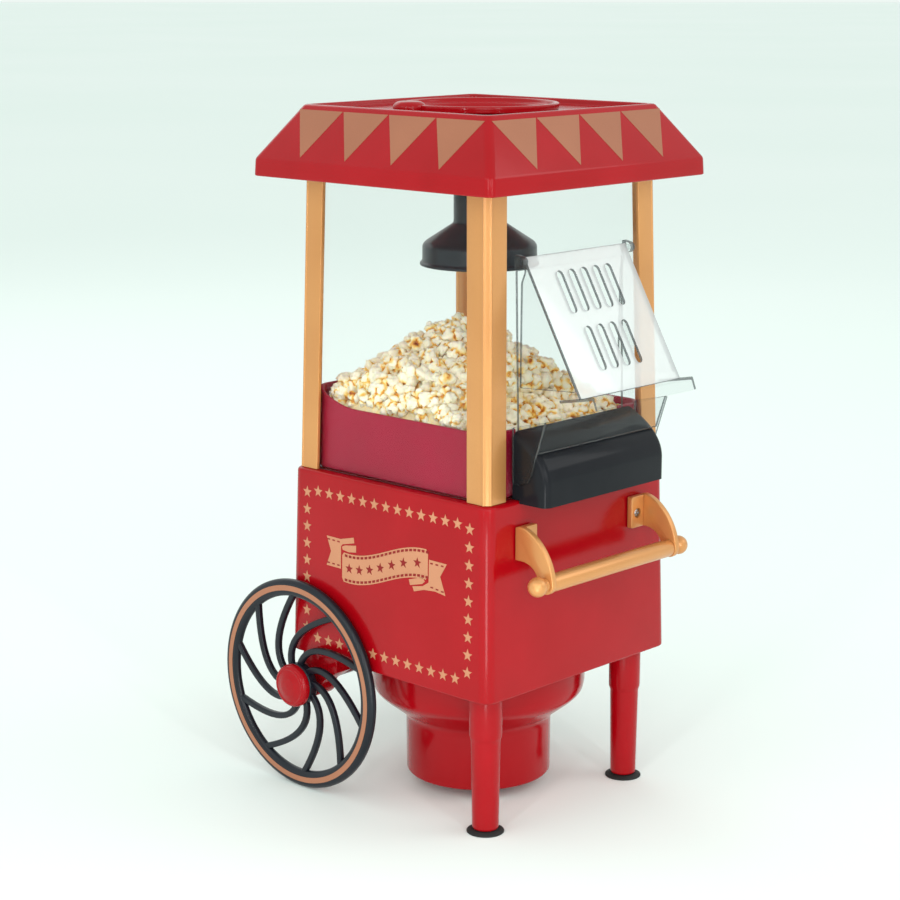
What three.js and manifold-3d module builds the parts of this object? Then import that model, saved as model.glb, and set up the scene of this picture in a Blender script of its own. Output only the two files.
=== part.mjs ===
// Tabletop hot-air popcorn cart: a red base on two legs and two spoked wheels, four gilt corner
// posts round a clear cabin, a canopy roof with a lift-out measuring cup, and a chute at the front.
// Millimetres, +Z up. The front (chute and push handle) faces -Y, and left is -X.
import * as THREE from 'three';
import { mergeVertices } from 'three/addons/utils/BufferGeometryUtils.js';
import Module from 'manifold-3d';

const wasm = await Module();
wasm.setup();

// ---------------------------------------------------------------- driving dimensions
const GAP = 0.3;                    // clearance kept between neighbouring pieces
const SEGMENTS = 24;                // sides of an ordinary turned piece
const FINE_SEGMENTS = 30;           // sides of a large turned piece

const BASE = { low: 92, top: 215.5, halfLow: 88.9, halfTop: 86.1, wall: 2.5, deck: 3, corner: 6 };
const ROOF = {
  low: 404.5, crease: 415.5, top: 449.5,
  halfLow: 102.6, halfCrease: 102.1, halfTop: 79.7,
  wall: 2.4, deck: 2.4, rimWidth: 3.6, rimHeight: 3.6, corner: 5, cupHole: 46.2,
};
const CEILING = { low: 407, thick: 2.2, half: 99 };

const LEAN = 0.0222;                // the posts and windows lean in by this much per mm of height
const POST = { corner: 83.8, width: 17.6, thick: 3, round: 2.4 };
const WINDOW = { outer: 80.4, thick: 2 };
const CABIN_LOW = BASE.top + GAP;
const CABIN_TOP = CEILING.low - GAP;
const DOORWAY = { half: 50, low: 222, top: 355 };

const FLAP = {
  hingeY: -81.2, hingeZ: 361, openAngle: 29.5, half: 48, length: 90.5, thick: 2,
  slotWidth: 5.6, slotPitch: 11.5,
};
const HINGE = { pin: 1.8, hole: 2.1, boss: 3.3, lugIn: 48.6, lugOut: 53.4 };

const BOWL = {
  top: 269.5, rim: 258, riseFrom: 38, halfLow: 77.4, halfTop: 76.3, wall: 2, floor: 2.2, corner: 12,
  spoutHalf: 50, spoutLow: 226,
};
const HEAP = { half: 74, corner: 30, edge: 254 };
const CHAMBER = { low: 140, top: 226, radius: 35.5, wall: 1.7, lip: 38 };
const DECK_HOLE = 40;
const BELL = {
  rim: 347.2, rimRadius: 38.5, skirtRadius: 36.8, shoulder: 361.5, neck: 374.5, tube: 16.8, wall: 2,
};

const HOOD = {
  half: 58, front: -108.4, low: 213.9, shoulder: 229, crown: 258, back: -81, wall: 2.2,
  bendY: -107.5, bendZ: 246,
};
const GUARD = { half: 60, wall: 1.7, back: -81.6, low: 225.6, high: 261, tipY: -108.2, tipZ: 267.5 };

const BAR = { y: -111.8, z: 168.2, radius: 5.6, neck: 3 };
const ARM = { inner: 58.5, outer: 62.5, endRadius: 6.2 };
const BLOCK = {
  inner: 46.3, low: 179.5, top: 200.2, front: -91.4, back: -87.3,
  screwX: 52.2, screwZ: 189, recess: 3.3, recessDeep: 2.2,
};
const SCREW = { shank: 1.6, hole: 1.9, head: 2.8, headHeight: 1.8, reach: 12 };

const LEG = { x: 68.8, y: -69.5, low: 2.5, top: BASE.low + GAP, ankle: 8.3, knee: 9.4, thigh: 10.4 };
const FOOT = { radius: 12, edge: 1, top: LEG.low - GAP, topRadius: 9.4 };
const AXLE = { y: 75, z: 70.8, radius: 3, hole: 3.4, half: 101.6 };
const WHEEL = {
  radius: 70.8, rimInner: 59.3, inner: 90.5, outer: 96.5,
  hubRadius: 14, hubInner: 89.6, hubOuter: 97, spokes: 10, spokeWidth: 4.2,
};
const SPOKE_START = THREE.MathUtils.degToRad(32);  // turns one spoke's outer end to its place at rest
const CAP = { radius: 14.4, face: WHEEL.hubOuter + GAP };
const FAN_HOUSING = { low: 7.5, radius: 48, dish: 71, wall: 2.2, floor: 2.5, waist: 46, shoulder: 71.5 };
const PLATE = { low: BASE.low + 0.6, thick: 2.5, half: 85.8, hole: 56 };
const BOTTOM_SCREW = { x: 30, y: 81.4 };
const SWITCH = { x: 45, z: 122 };
const GLAND = { x: -48, z: 106 };

// ---------------------------------------------------------------- materials
const paint = (color, roughness, metalness = 0) => () =>
  new THREE.MeshStandardMaterial({ color, roughness, metalness });
const red = paint(0xb4252b, 0.25);
const crimson = paint(0x9c2f44, 0.35);
const gilt = paint(0xd9a066, 0.35, 0.6);
const black = paint(0x2c2d30, 0.3);
const rubber = paint(0x1a1a1b, 0.8);
const clear = paint(0xe8eeee, 0.05);
const steel = paint(0xb9bcc0, 0.3, 0.9);
const aluminium = paint(0xc4c7ca, 0.4, 0.9);
const mica = paint(0xcbb98e, 0.7);
const board = paint(0x2f6b3c, 0.6);
const corn = paint(0xf3e6bd, 0.9);

// ---------------------------------------------------------------- geometry helpers
const cart = new THREE.Group();

function add(parent, name, geometry, material) {
  const mesh = new THREE.Mesh(geometry, material());
  mesh.name = name;
  parent.add(mesh);
  return mesh;
}

// A closed three.js geometry as a manifold solid, with its shared corners merged.
function solid(geometry) {
  const bare = geometry.clone();
  bare.deleteAttribute('normal');
  bare.deleteAttribute('uv');
  const merged = mergeVertices(bare, 1e-4);
  return new wasm.Manifold(new wasm.Mesh({
    numProp: 3,
    vertProperties: new Float32Array(merged.attributes.position.array),
    triVerts: new Uint32Array(merged.index.array),
  }));
}

function geometryOf(manifold) {
  const mesh = manifold.getMesh();
  const geometry = new THREE.BufferGeometry();
  geometry.setAttribute('position', new THREE.BufferAttribute(mesh.vertProperties, 3));
  geometry.setIndex(new THREE.BufferAttribute(mesh.triVerts, 1));
  return geometry;
}

const join = (...pieces) => geometryOf(pieces.map(solid).reduce((whole, next) => whole.add(next)));
const cut = (body, ...tools) =>
  geometryOf(tools.map(solid).reduce((whole, tool) => whole.subtract(tool), solid(body)));

function box(x0, x1, y0, y1, z0, z1) {
  const geometry = new THREE.BoxGeometry(x1 - x0, y1 - y0, z1 - z0);
  return geometry.translate((x0 + x1) / 2, (y0 + y1) / 2, (z0 + z1) / 2);
}

// A turned piece about Z from [radius, height] points listed counter-clockwise.
function turned(points, segments = SEGMENTS) {
  const profile = points.map(([r, z]) => new THREE.Vector2(r, z));
  return new THREE.LatheGeometry(profile, segments).rotateX(Math.PI / 2);
}

// A closed ring profile is turned by repeating its first point at the end.
const turnedRing = (points, segments) => turned([...points, points[0]], segments);

function rod(radius, z0, z1, segments = SEGMENTS) {
  return turned([[0, z0], [radius, z0], [radius, z1], [0, z1]], segments);
}

const alongX = (geometry, side = 1) => geometry.rotateY(side * Math.PI / 2);
const alongY = (geometry) => geometry.rotateX(-Math.PI / 2);

function roundedSquare(half, corner, cornerSteps = 3) {
  const shape = new THREE.Shape();
  const straight = half - corner;
  const centres = [[1, 1], [-1, 1], [-1, -1], [1, -1]].map(([x, y]) => [x * straight, y * straight]);
  centres.forEach(([x, y], quarter) => {
    for (let step = 0; step <= cornerSteps; step += 1) {
      const angle = (quarter + step / cornerSteps) * Math.PI / 2;
      const point = [x + corner * Math.cos(angle), y + corner * Math.sin(angle)];
      if (quarter === 0 && step === 0) shape.moveTo(...point);
      else shape.lineTo(...point);
    }
  });
  return shape;
}

// A stack of rounded squares: levels are [height, half width], lowest first.
function stacked(levels, corner, cornerSteps) {
  const reference = levels[0][1];
  const geometry = new THREE.ExtrudeGeometry(roundedSquare(reference, corner, cornerSteps), {
    depth: levels.length - 1, steps: levels.length - 1, bevelEnabled: false,
  });
  const position = geometry.attributes.position;
  for (let i = 0; i < position.count; i += 1) {
    const [height, half] = levels[Math.round(position.getZ(i))];
    const scale = half / reference;
    position.setXYZ(i, position.getX(i) * scale, position.getY(i) * scale, height);
  }
  return geometry;
}

// A side profile in the YZ plane, extruded from x0 to x1.
function sideways(shape, x0, x1, curveSegments = 6) {
  const geometry = new THREE.ExtrudeGeometry(shape, { depth: x1 - x0, bevelEnabled: false, curveSegments });
  const toSide = new THREE.Matrix4().set(0, 0, 1, x0, 1, 0, 0, 0, 0, 1, 0, 0, 0, 0, 0, 1);
  return geometry.applyMatrix4(toSide);
}

function polygon(points) {
  const shape = new THREE.Shape();
  points.forEach(([u, v], i) => (i ? shape.lineTo(u, v) : shape.moveTo(u, v)));
  return shape;
}

// Leans a cabin piece in towards the middle as it rises.
function leaned(geometry) {
  const position = geometry.attributes.position;
  for (let i = 0; i < position.count; i += 1) {
    const inset = LEAN * (position.getZ(i) - BASE.top);
    const x = position.getX(i);
    const y = position.getY(i);
    position.setX(i, x - Math.sign(x) * inset);
    position.setY(i, y - Math.sign(y) * inset);
  }
  return geometry;
}

const baseHalf = (z) =>
  BASE.halfLow + (BASE.halfTop - BASE.halfLow) * (z - BASE.low) / (BASE.top - BASE.low);

// ---------------------------------------------------------------- base and underside
function baseHousing() {
  const inside = BASE.wall + 0.2;
  const walls = cut(
    stacked([[BASE.low, BASE.halfLow], [BASE.top, BASE.halfTop]], BASE.corner),
    stacked([[BASE.low - 1, BASE.halfLow - inside],
      [BASE.top - BASE.deck, BASE.halfTop - inside]], BASE.corner - 2),
    rod(DECK_HOLE, BASE.top - 10, BASE.top + 1),
  );
  const bosses = [];
  const holes = [];
  for (const x of [-BOTTOM_SCREW.x, BOTTOM_SCREW.x]) {
    for (const y of [-BOTTOM_SCREW.y, BOTTOM_SCREW.y]) {
      const plateTop = PLATE.low + PLATE.thick;
      bosses.push(rod(5.5, plateTop + GAP, plateTop + 13, 10).translate(x, y, 0));
      holes.push(rod(SCREW.hole, plateTop - 1, plateTop + 11, 8).translate(x, y, 0));
    }
  }
  const frontHoles = [-1, 1].map((side) =>
    alongY(rod(SCREW.hole, -90, -78, 8)).translate(side * BLOCK.screwX, 0, BLOCK.screwZ));
  const switchHole = box(SWITCH.x - 6.1, SWITCH.x + 6.1, 78, 92, SWITCH.z - 9.1, SWITCH.z + 9.1);
  const glandHole = alongY(rod(5.4, 78, 92, 16)).translate(GLAND.x, 0, GLAND.z);
  return cut(join(walls, ...bosses), ...holes, ...frontHoles, switchHole, glandHole);
}

function bottomPlate() {
  const holes = [rod(PLATE.hole, PLATE.low - 1, PLATE.low + 5, FINE_SEGMENTS)];
  for (const x of [-BOTTOM_SCREW.x, BOTTOM_SCREW.x]) {
    for (const y of [-BOTTOM_SCREW.y, BOTTOM_SCREW.y]) {
      holes.push(rod(SCREW.hole, PLATE.low - 1, PLATE.low + 5, 8).translate(x, y, 0));
    }
  }
  return cut(stacked([[PLATE.low, PLATE.half], [PLATE.low + PLATE.thick, PLATE.half]], 4), ...holes);
}

// The wide dish and the narrower drum below it, open at the top and slotted underneath.
function fanHousing() {
  const { low, radius, dish, wall, floor, waist, shoulder } = FAN_HOUSING;
  const top = BASE.low + GAP;
  const shell = turned([
    [0, low], [radius - 1.5, low], [radius, low + 1.5], [radius + 0.3, waist], [radius + 3, waist + 4],
    [dish - 5, shoulder - 10], [dish - 1.3, shoulder - 6], [dish, shoulder], [dish, top],
    [dish - wall, top], [dish - wall, shoulder + 1], [dish - 6.6, shoulder - 8], [radius + 1.6, waist + 6.4],
    [radius + 0.3 - wall, waist + 1], [radius - wall, low + floor], [0, low + floor],
  ], FINE_SEGMENTS);
  const slots = [];
  for (let i = 0; i < 10; i += 1) {
    slots.push(box(16, 38, -2, 2, low - 1, low + floor + 1).rotateZ(i * Math.PI / 5));
  }
  return cut(shell, ...slots);
}

function leg() {
  const { low, top, ankle, knee, thigh } = LEG;
  return turned([[0, low], [ankle, low], [knee, 60], [thigh - 0.3, 65], [thigh, top], [0, top]], 20);
}

function legFoot() {
  const { radius, edge, top, topRadius } = FOOT;
  return turned([[0, 0], [radius, 0], [radius, edge], [topRadius, top], [0, top]], 20);
}

function bottomScrew() {
  const head = PLATE.low - GAP;
  return turned([[0, head - SCREW.headHeight], [SCREW.head, head - SCREW.headHeight], [SCREW.head, head],
    [SCREW.shank, head], [SCREW.shank, head + SCREW.reach], [0, head + SCREW.reach]], 12);
}

function buildBase() {
  add(cart, 'base_housing', baseHousing(), red);
  add(cart, 'bottom_plate', bottomPlate(), red);
  add(cart, 'fan_housing', fanHousing(), red);
  for (const [side, x] of [['left', -LEG.x], ['right', LEG.x]]) {
    add(cart, `front_${side}_leg`, leg(), red).position.set(x, LEG.y, 0);
    add(cart, `front_${side}_foot`, legFoot(), rubber).position.set(x, LEG.y, 0);
  }
  let number = 0;
  for (const x of [-BOTTOM_SCREW.x, BOTTOM_SCREW.x]) {
    for (const y of [-BOTTOM_SCREW.y, BOTTOM_SCREW.y]) {
      number += 1;
      add(cart, `bottom_screw_${number}`, bottomScrew(), steel).position.set(x, y, 0);
    }
  }
}

// ---------------------------------------------------------------- fan, heater and popping chamber
const MOTOR = { low: 22, top: 62, radius: 18.5, bossTop: 66 };
const IMPELLER = { low: 70, disc: 1.6, radius: 40, top: 84, vanes: 9 };

function motor() {
  const bore = 2;
  return turnedRing([[bore, MOTOR.low], [MOTOR.radius, MOTOR.low], [MOTOR.radius, MOTOR.top],
    [6, MOTOR.top], [6, MOTOR.bossTop], [bore, MOTOR.bossTop]], 16);
}

// A ring round the motor on three arms that reach the drum's wall.
function motorCradle() {
  const ring = turnedRing([[19, 34], [21.5, 34], [21.5, 48], [19, 48]], 16);
  const arms = [0, 1, 2].map((i) => box(20.5, 45, -2.5, 2.5, 36, 44).rotateZ(i * Math.PI * 2 / 3));
  return join(ring, ...arms);
}

function impeller() {
  const { low, disc, radius, top, vanes } = IMPELLER;
  const hub = turned([[0, low], [radius, low], [radius, low + disc], [9, low + disc], [8, top],
    [0, top]], 20);
  const blades = [];
  for (let i = 0; i < vanes; i += 1) {
    const blade = box(0, 29, -0.7, 0.7, low + disc / 2, top - 1).rotateZ(0.55).translate(11, 0, 0);
    blades.push(blade.rotateZ(i * Math.PI * 2 / vanes));
  }
  const body = join(hub, ...blades);
  return cut(body, rod(2, low - 1, top + 1, 12));
}

function rectifierBoard() {
  const diodes = [-6, -2, 2, 6].map((x) => box(x - 1, x + 1, -4, 4, 16.5, 19.5));
  return join(rod(13, 15.4, 17, 20), ...diodes);
}

function airDuct() {
  const low = PLATE.low + PLATE.thick + GAP;
  return turnedRing([[55, low], [66, low], [66, low + 1.8], [58, low + 1.8], [39, 122], [39, 148],
    [37.2, 148], [37.2, 121.3]], SEGMENTS);
}

function heaterFrame() {
  const reach = 22.4;
  return join(box(-reach, reach, -0.5, 0.5, 99, 134), box(-0.5, 0.5, -reach, reach, 99, 134));
}

class Helix extends THREE.Curve {
  constructor(radius, low, high, turns) {
    super();
    Object.assign(this, { radius, low, high, turns });
  }

  getPoint(t, target = new THREE.Vector3()) {
    const angle = t * this.turns * Math.PI * 2;
    const height = this.low + t * (this.high - this.low);
    return target.set(this.radius * Math.cos(angle), this.radius * Math.sin(angle), height);
  }
}

function heaterCoil() {
  const wire = polygon([[1, 0], [0, 1], [-1, 0], [0, -1]]);
  return new THREE.ExtrudeGeometry(wire, {
    steps: 42, bevelEnabled: false, extrudePath: new Helix(24, 104, 130, 3),
  });
}

function poppingChamber() {
  const { low, top, radius, wall, lip } = CHAMBER;
  const cup = turned([[0, low], [radius, low], [radius, top - 3.5], [lip, top - 1.5], [lip, top],
    [radius - wall, top], [radius - wall, low + wall], [0, low + wall]], SEGMENTS);
  const vents = [];
  for (let i = 0; i < 6; i += 1) {
    vents.push(box(radius - 5, radius + 3, -7, 7, low + 6, low + 8).rotateZ(i * Math.PI / 3));
  }
  return cut(cup, ...vents);
}

function buildAirPath() {
  add(cart, 'motor', motor(), steel);
  add(cart, 'motor_cradle', motorCradle(), black);
  add(cart, 'rectifier_board', rectifierBoard(), board);
  add(cart, 'motor_shaft', rod(1.6, 20.5, 82, 12), steel);
  add(cart, 'fan_impeller', impeller(), black);
  add(cart, 'air_duct', airDuct(), steel);
  add(cart, 'heater_frame', heaterFrame(), mica);
  add(cart, 'heater_coil', heaterCoil(), steel);
  add(cart, 'thermal_cutout', alongX(rod(7, 39.6, 44.6, 16)).translate(0, 0, 138), steel);
  add(cart, 'popping_chamber', poppingChamber(), aluminium);
}

// ---------------------------------------------------------------- bowl and popcorn
// The rim is level along the sides and sweeps up to the taller back wall.
function servingBowl() {
  const { top, rim, riseFrom, halfLow, halfTop, wall, floor, corner, spoutHalf, spoutLow } = BOWL;
  const low = BASE.top + GAP;
  const clearOf = 90;
  const backWall = halfTop - wall - 1.5;
  const tub = stacked([[low, halfLow], [top, halfTop]], corner, 4);
  const hollow = stacked([[low + floor, halfLow - wall], [top + 1, halfTop - wall]], corner - wall, 4);
  const aboveRim = new THREE.Shape();
  aboveRim.moveTo(-clearOf, rim);
  aboveRim.lineTo(riseFrom, rim);
  aboveRim.quadraticCurveTo((riseFrom + backWall) / 2, rim, backWall, top);
  aboveRim.lineTo(backWall, top + 5);
  aboveRim.lineTo(-clearOf, top + 5);
  const spout = box(-spoutHalf, spoutHalf, -clearOf, -60, spoutLow, top + 5);
  return cut(tub, hollow, sideways(aboveRim, -clearOf, clearOf), rod(DECK_HOLE, low - 1, low + 4), spout);
}

function popcornHeap() {
  const { half, corner, edge } = HEAP;
  const floor = BASE.top + GAP + BOWL.floor + GAP;
  const levels = [[floor, half], [edge, half], [edge + 7, half - 3], [edge + 14, half - 12],
    [edge + 23, half - 24], [edge + 33, half - 35], [edge + 43, half - 46], [edge + 52, half - 58],
    [edge + 57, half - 68]];
  return cut(stacked(levels, corner, 3), rod(CHAMBER.lip + GAP + 0.4, floor - 1, CHAMBER.top + GAP));
}

function buildBowl() {
  add(cart, 'serving_bowl', servingBowl(), crimson);
  add(cart, 'popcorn_heap', popcornHeap(), corn);
}

// ---------------------------------------------------------------- cabin: posts, windows, flap
// An angle section with its outer corner on the +X +Y side, at its full height.
function cornerPost() {
  const { corner, width, thick, round } = POST;
  const inner = corner - thick;
  const shape = new THREE.Shape();
  shape.moveTo(inner, inner);
  shape.lineTo(corner - width, inner);
  shape.lineTo(corner - width, corner);
  shape.lineTo(corner - round, corner);
  shape.absarc(corner - round, corner - round, round, Math.PI / 2, 0, true);
  shape.lineTo(corner, corner - width);
  shape.lineTo(inner, corner - width);
  const geometry = new THREE.ExtrudeGeometry(shape, {
    depth: CABIN_TOP - CABIN_LOW, bevelEnabled: false, curveSegments: 3,
  });
  return leaned(geometry.translate(0, 0, CABIN_LOW));
}

function sideWindow(side) {
  const { outer, thick } = WINDOW;
  const end = outer - thick - 0.5;
  const near = side * (outer - thick);
  const far = side * outer;
  return leaned(box(Math.min(near, far), Math.max(near, far), -end, end, CABIN_LOW, CABIN_TOP));
}

function rearWindow() {
  const { outer, thick } = WINDOW;
  return leaned(box(-outer, outer, outer - thick, outer, CABIN_LOW, CABIN_TOP));
}

// The front pane has the doorway cut out of it and carries the two lugs that the flap hangs from.
function frontWindow() {
  const { outer, thick } = WINDOW;
  const pane = leaned(box(-outer, outer, -outer, thick - outer, CABIN_LOW, CABIN_TOP));
  const face = -outer + LEAN * (FLAP.hingeZ - BASE.top);
  const lugs = [];
  const holes = [];
  for (const side of [-1, 1]) {
    const x = side * (HINGE.lugIn + HINGE.lugOut) / 2;
    const half = (HINGE.lugOut - HINGE.lugIn) / 2;
    lugs.push(box(x - half, x + half, FLAP.hingeY - 3.6, face + 1, FLAP.hingeZ - 4, FLAP.hingeZ + 4));
    holes.push(alongX(rod(HINGE.hole, -5, 5, 12)).translate(x, FLAP.hingeY, FLAP.hingeZ));
  }
  const doorway = box(-DOORWAY.half, DOORWAY.half, -90, -60, DOORWAY.low, DOORWAY.top);
  return cut(join(pane, ...lugs), doorway, ...holes);
}

function slot(x, high, low) {
  const radius = FLAP.slotWidth / 2;
  const shape = new THREE.Shape();
  shape.absarc(x, high - radius, radius, 0, Math.PI, false);
  shape.absarc(x, low + radius, radius, Math.PI, Math.PI * 2, false);
  const geometry = new THREE.ExtrudeGeometry(shape, { depth: 10, bevelEnabled: false, curveSegments: 3 });
  return geometry.rotateX(Math.PI / 2).translate(0, 5, 0);
}

// The flap hanging shut, with its hinge axis at the origin: pane, cheeks, and the grip along the foot.
function doorFlap() {
  const { half, length, thick } = FLAP;
  const pane = box(-half, half, -thick / 2, thick / 2, -length, 2.6);
  const cheekShape = polygon([[-0.9, 2.5], [2.2, 2.5], [3, -4], [9.5, -10], [41.9, -65.9], [0.5, -86.3],
    [-0.9, -86]]);
  const cheeks = [sideways(cheekShape, -half, 2 - half), sideways(cheekShape, half - 2, half)];
  const gripShape = polygon([[15.6, -84.6], [-10.6, -93.2], [-9.4, -101.4], [-7.7, -101.2],
    [-8.6, -94.6], [16.2, -86.4]]);
  const grip = sideways(gripShape, -half, half);
  const slots = [];
  for (let i = -2; i <= 2; i += 1) slots.push(slot(i * FLAP.slotPitch, -9, -37));
  for (let i = -1.5; i <= 1.5; i += 1) slots.push(slot(i * FLAP.slotPitch, -46.5, -75.5));
  const bosses = [-1, 1].map((side) => alongX(rod(HINGE.boss, half - 5, half, 12), side));
  const pinHoles = [-1, 1].map((side) => alongX(rod(HINGE.hole, half - 2.6, half + 1, 12), side));
  return cut(join(pane, ...cheeks, grip, ...bosses), ...slots, ...pinHoles);
}

function buildCabin() {
  const names = ['rear_right_post', 'rear_left_post', 'front_left_post', 'front_right_post'];
  names.forEach((name, quarter) => {
    add(cart, name, cornerPost(), gilt).rotation.z = quarter * Math.PI / 2;
  });
  add(cart, 'left_window', sideWindow(-1), clear);
  add(cart, 'right_window', sideWindow(1), clear);
  add(cart, 'rear_window', rearWindow(), clear);
  add(cart, 'front_window', frontWindow(), clear);

  const flap = new THREE.Group();
  flap.position.set(0, FLAP.hingeY, FLAP.hingeZ);
  flap.rotation.x = THREE.MathUtils.degToRad(-FLAP.openAngle);
  cart.add(flap);
  add(flap, 'door_flap', doorFlap(), clear);
  for (const [side, sign] of [['left', -1], ['right', 1]]) {
    const pin = rod(HINGE.pin, FLAP.half - 1.8, HINGE.lugOut + 1, 12);
    add(flap, `${side}_hinge_pin`, alongX(pin, sign), clear);
  }
}

// ---------------------------------------------------------------- chute hood and clear guard
// The hood's side outline; grow moves its top and front outwards.
function hoodOutline(grow, backY, lowZ) {
  const { front, shoulder } = HOOD;
  const shape = new THREE.Shape();
  shape.moveTo(backY, lowZ);
  shape.lineTo(backY, HOOD.crown + grow);
  if (backY > HOOD.back) shape.lineTo(HOOD.back, HOOD.crown + grow);
  shape.quadraticCurveTo(HOOD.bendY - grow, HOOD.bendZ + grow, front - grow, shoulder);
  shape.lineTo(front - grow, lowZ);
  return shape;
}

function chuteHood() {
  const { half, back, low, wall } = HOOD;
  const deckFront = -BASE.halfTop - 0.4;
  const body = sideways(hoodOutline(0, back, low), -half, half, 9);
  const overDeck = box(-90, 90, deckFront, -60, low - 5, BASE.top + GAP);
  const inside = sideways(hoodOutline(-wall, -70, BASE.top + GAP + 2), wall - half, half - wall, 9);
  const mouth = box(wall - half, half - wall, HOOD.front + wall, deckFront - wall, low - 5, 225);
  return cut(body, overDeck, inside, mouth);
}

// A clear tray front standing over the hood, with a cheek down each side of it.
function chuteGuard() {
  const { half, wall, back, low, high, tipY, tipZ } = GUARD;
  const outline = new THREE.Shape();
  outline.moveTo(back, low);
  outline.lineTo(back, high);
  outline.lineTo(tipY, tipZ);
  outline.lineTo(-98.8, 238);
  outline.quadraticCurveTo(-95, 225.4, -87, 225.2);
  const inside = polygon([[-70, 200], [-70, 280], [-110.3, 280], [-96.9, 238], [-86, 200]]);
  return cut(
    sideways(outline, -half, half),
    sideways(inside, wall - half, half - wall),
    sideways(hoodOutline(0.6, -70, 200), wall - half, half - wall, 9),
  );
}

function buildChute() {
  add(cart, 'chute_hood', chuteHood(), black);
  add(cart, 'chute_guard', chuteGuard(), clear);
}

// ---------------------------------------------------------------- push handle
function bracket(side) {
  const { inner, low, top, front, back } = BLOCK;
  const arm = new THREE.Shape();
  arm.moveTo(back, 179.3);
  arm.lineTo(back, 200);
  arm.lineTo(-91.5, 201);
  arm.bezierCurveTo(-104, 199, -117.5, 184, BAR.y - ARM.endRadius, BAR.z);
  arm.absarc(BAR.y, BAR.z, ARM.endRadius, Math.PI, Math.PI * 2, false);
  arm.quadraticCurveTo(-104, 179, -93, 179.3);
  const xs = (a, b) => (side > 0 ? [a, b] : [-b, -a]);
  const [armIn, armOut] = xs(ARM.inner, ARM.outer);
  const [blockIn, blockOut] = xs(inner, ARM.inner + 1);
  const body = join(sideways(arm, armIn, armOut, 7), box(blockIn, blockOut, front, back, low, top));
  const barHole = alongX(rod(BAR.neck + GAP, -80, 80, 12)).translate(0, BAR.y, BAR.z);
  const { screwX, screwZ, recess, recessDeep } = BLOCK;
  const screwHole = alongY(rod(SCREW.hole, -95, -80, 12)).translate(side * screwX, 0, screwZ);
  const seat = alongY(rod(recess, front - 5, front + recessDeep, 16)).translate(side * screwX, 0, screwZ);
  return cut(body, barHole, screwHole, seat);
}

function handleBar() {
  const { radius, neck } = BAR;
  const shoulder = ARM.inner - GAP;
  const tip = ARM.outer + 4;
  return alongX(turned([[0, -tip], [neck, -tip], [neck, -shoulder], [radius, -shoulder],
    [radius, shoulder], [neck, shoulder], [neck, tip], [0, tip]], 20));
}

// A domed nut on the bar's threaded end.
function barKnob() {
  const face = ARM.outer + GAP;
  const bore = BAR.neck + GAP;
  return turned([[0, face + 4.5], [bore, face + 4.5], [bore, face], [4.6, face], [6, face + 2.2],
    [6.1, face + 6.6], [5.2, face + 9.6], [3, face + 11.6], [0, face + 12.4]], 16);
}

function bracketScrew() {
  const head = BLOCK.front + BLOCK.recessDeep - GAP;
  return alongY(turned([[0, head - SCREW.headHeight], [SCREW.head - 0.6, head - SCREW.headHeight],
    [SCREW.head, head - 1], [SCREW.head, head], [SCREW.shank, head], [SCREW.shank, head + SCREW.reach],
    [0, head + SCREW.reach]], 12));
}

function buildHandle() {
  for (const [name, side] of [['left', -1], ['right', 1]]) {
    add(cart, `${name}_handle_bracket`, bracket(side), gilt);
    const screw = add(cart, `${name}_bracket_screw`, bracketScrew(), steel);
    screw.position.set(side * BLOCK.screwX, 0, BLOCK.screwZ);
    const knob = add(cart, `${name}_bar_knob`, barKnob(), gilt);
    knob.rotation.y = side * Math.PI / 2;
    knob.position.set(0, BAR.y, BAR.z);
  }
  add(cart, 'handle_bar', handleBar(), gilt).position.set(0, BAR.y, BAR.z);
}

// ---------------------------------------------------------------- roof, feed funnel and cup
function roofCanopy() {
  const { low, crease, top, halfLow, halfCrease, halfTop, wall, deck, rimWidth, rimHeight, corner } = ROOF;
  const floor = top - rimHeight;
  const slope = (halfCrease - halfTop) / (top - crease);
  const side = wall * Math.hypot(1, slope);
  const ceiling = floor - deck;
  const halfAt = (z) => halfTop + (top - z) * slope;
  const outer = stacked([[low, halfLow], [crease, halfCrease], [top, halfTop]], corner, 3);
  const hollow = stacked([[low - 1, halfLow - wall], [crease, halfCrease - side],
    [ceiling, halfAt(ceiling) - side]], corner - 2, 3);
  const recess = stacked([[floor, halfTop - rimWidth], [top + 1, halfTop - rimWidth]], 6, 3);
  return cut(outer, hollow, recess, rod(ROOF.cupHole, ceiling - 1, top + 1, FINE_SEGMENTS));
}

function roofCeiling() {
  const { low, thick, half } = CEILING;
  return cut(stacked([[low, half], [low + thick, half]], 4, 2), rod(BELL.tube + 0.4, low - 1, low + 4));
}

function feedFunnel() {
  const top = ROOF.top - ROOF.rimHeight - ROOF.deck - GAP;
  const low = CEILING.low + CEILING.thick + GAP;
  const bore = BELL.tube + 0.4;
  return turnedRing([[bore, low], [bore + 1.8, low], [bore + 1.8, low + 4.6], [48.6, top - 1.8],
    [54, top - 1.8], [54, top], [47, top], [bore, low + 5.4]], SEGMENTS);
}

function feedBell() {
  const { rim, rimRadius, skirtRadius, shoulder, neck, tube, wall } = BELL;
  const top = CEILING.low + CEILING.thick + 2.4;
  return turnedRing([[rimRadius - wall, rim], [rimRadius, rim], [skirtRadius, rim + 3],
    [skirtRadius, shoulder - 1.4], [skirtRadius - 1.6, shoulder + 0.8], [tube, neck], [tube, top],
    [tube - wall, top], [tube - wall, neck - 0.8], [skirtRadius - 3.2, shoulder - 1],
    [skirtRadius - wall, shoulder - 2.6], [skirtRadius - wall, rim + 3.2]], SEGMENTS);
}

const CUP = {
  rest: ROOF.top - ROOF.rimHeight + GAP, radius: 50, throat: 45.4, low: 434,
  tabRadius: 10.2, tabHeight: 6.8, tabOut: 52, tabAngle: THREE.MathUtils.degToRad(165),
};

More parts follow.
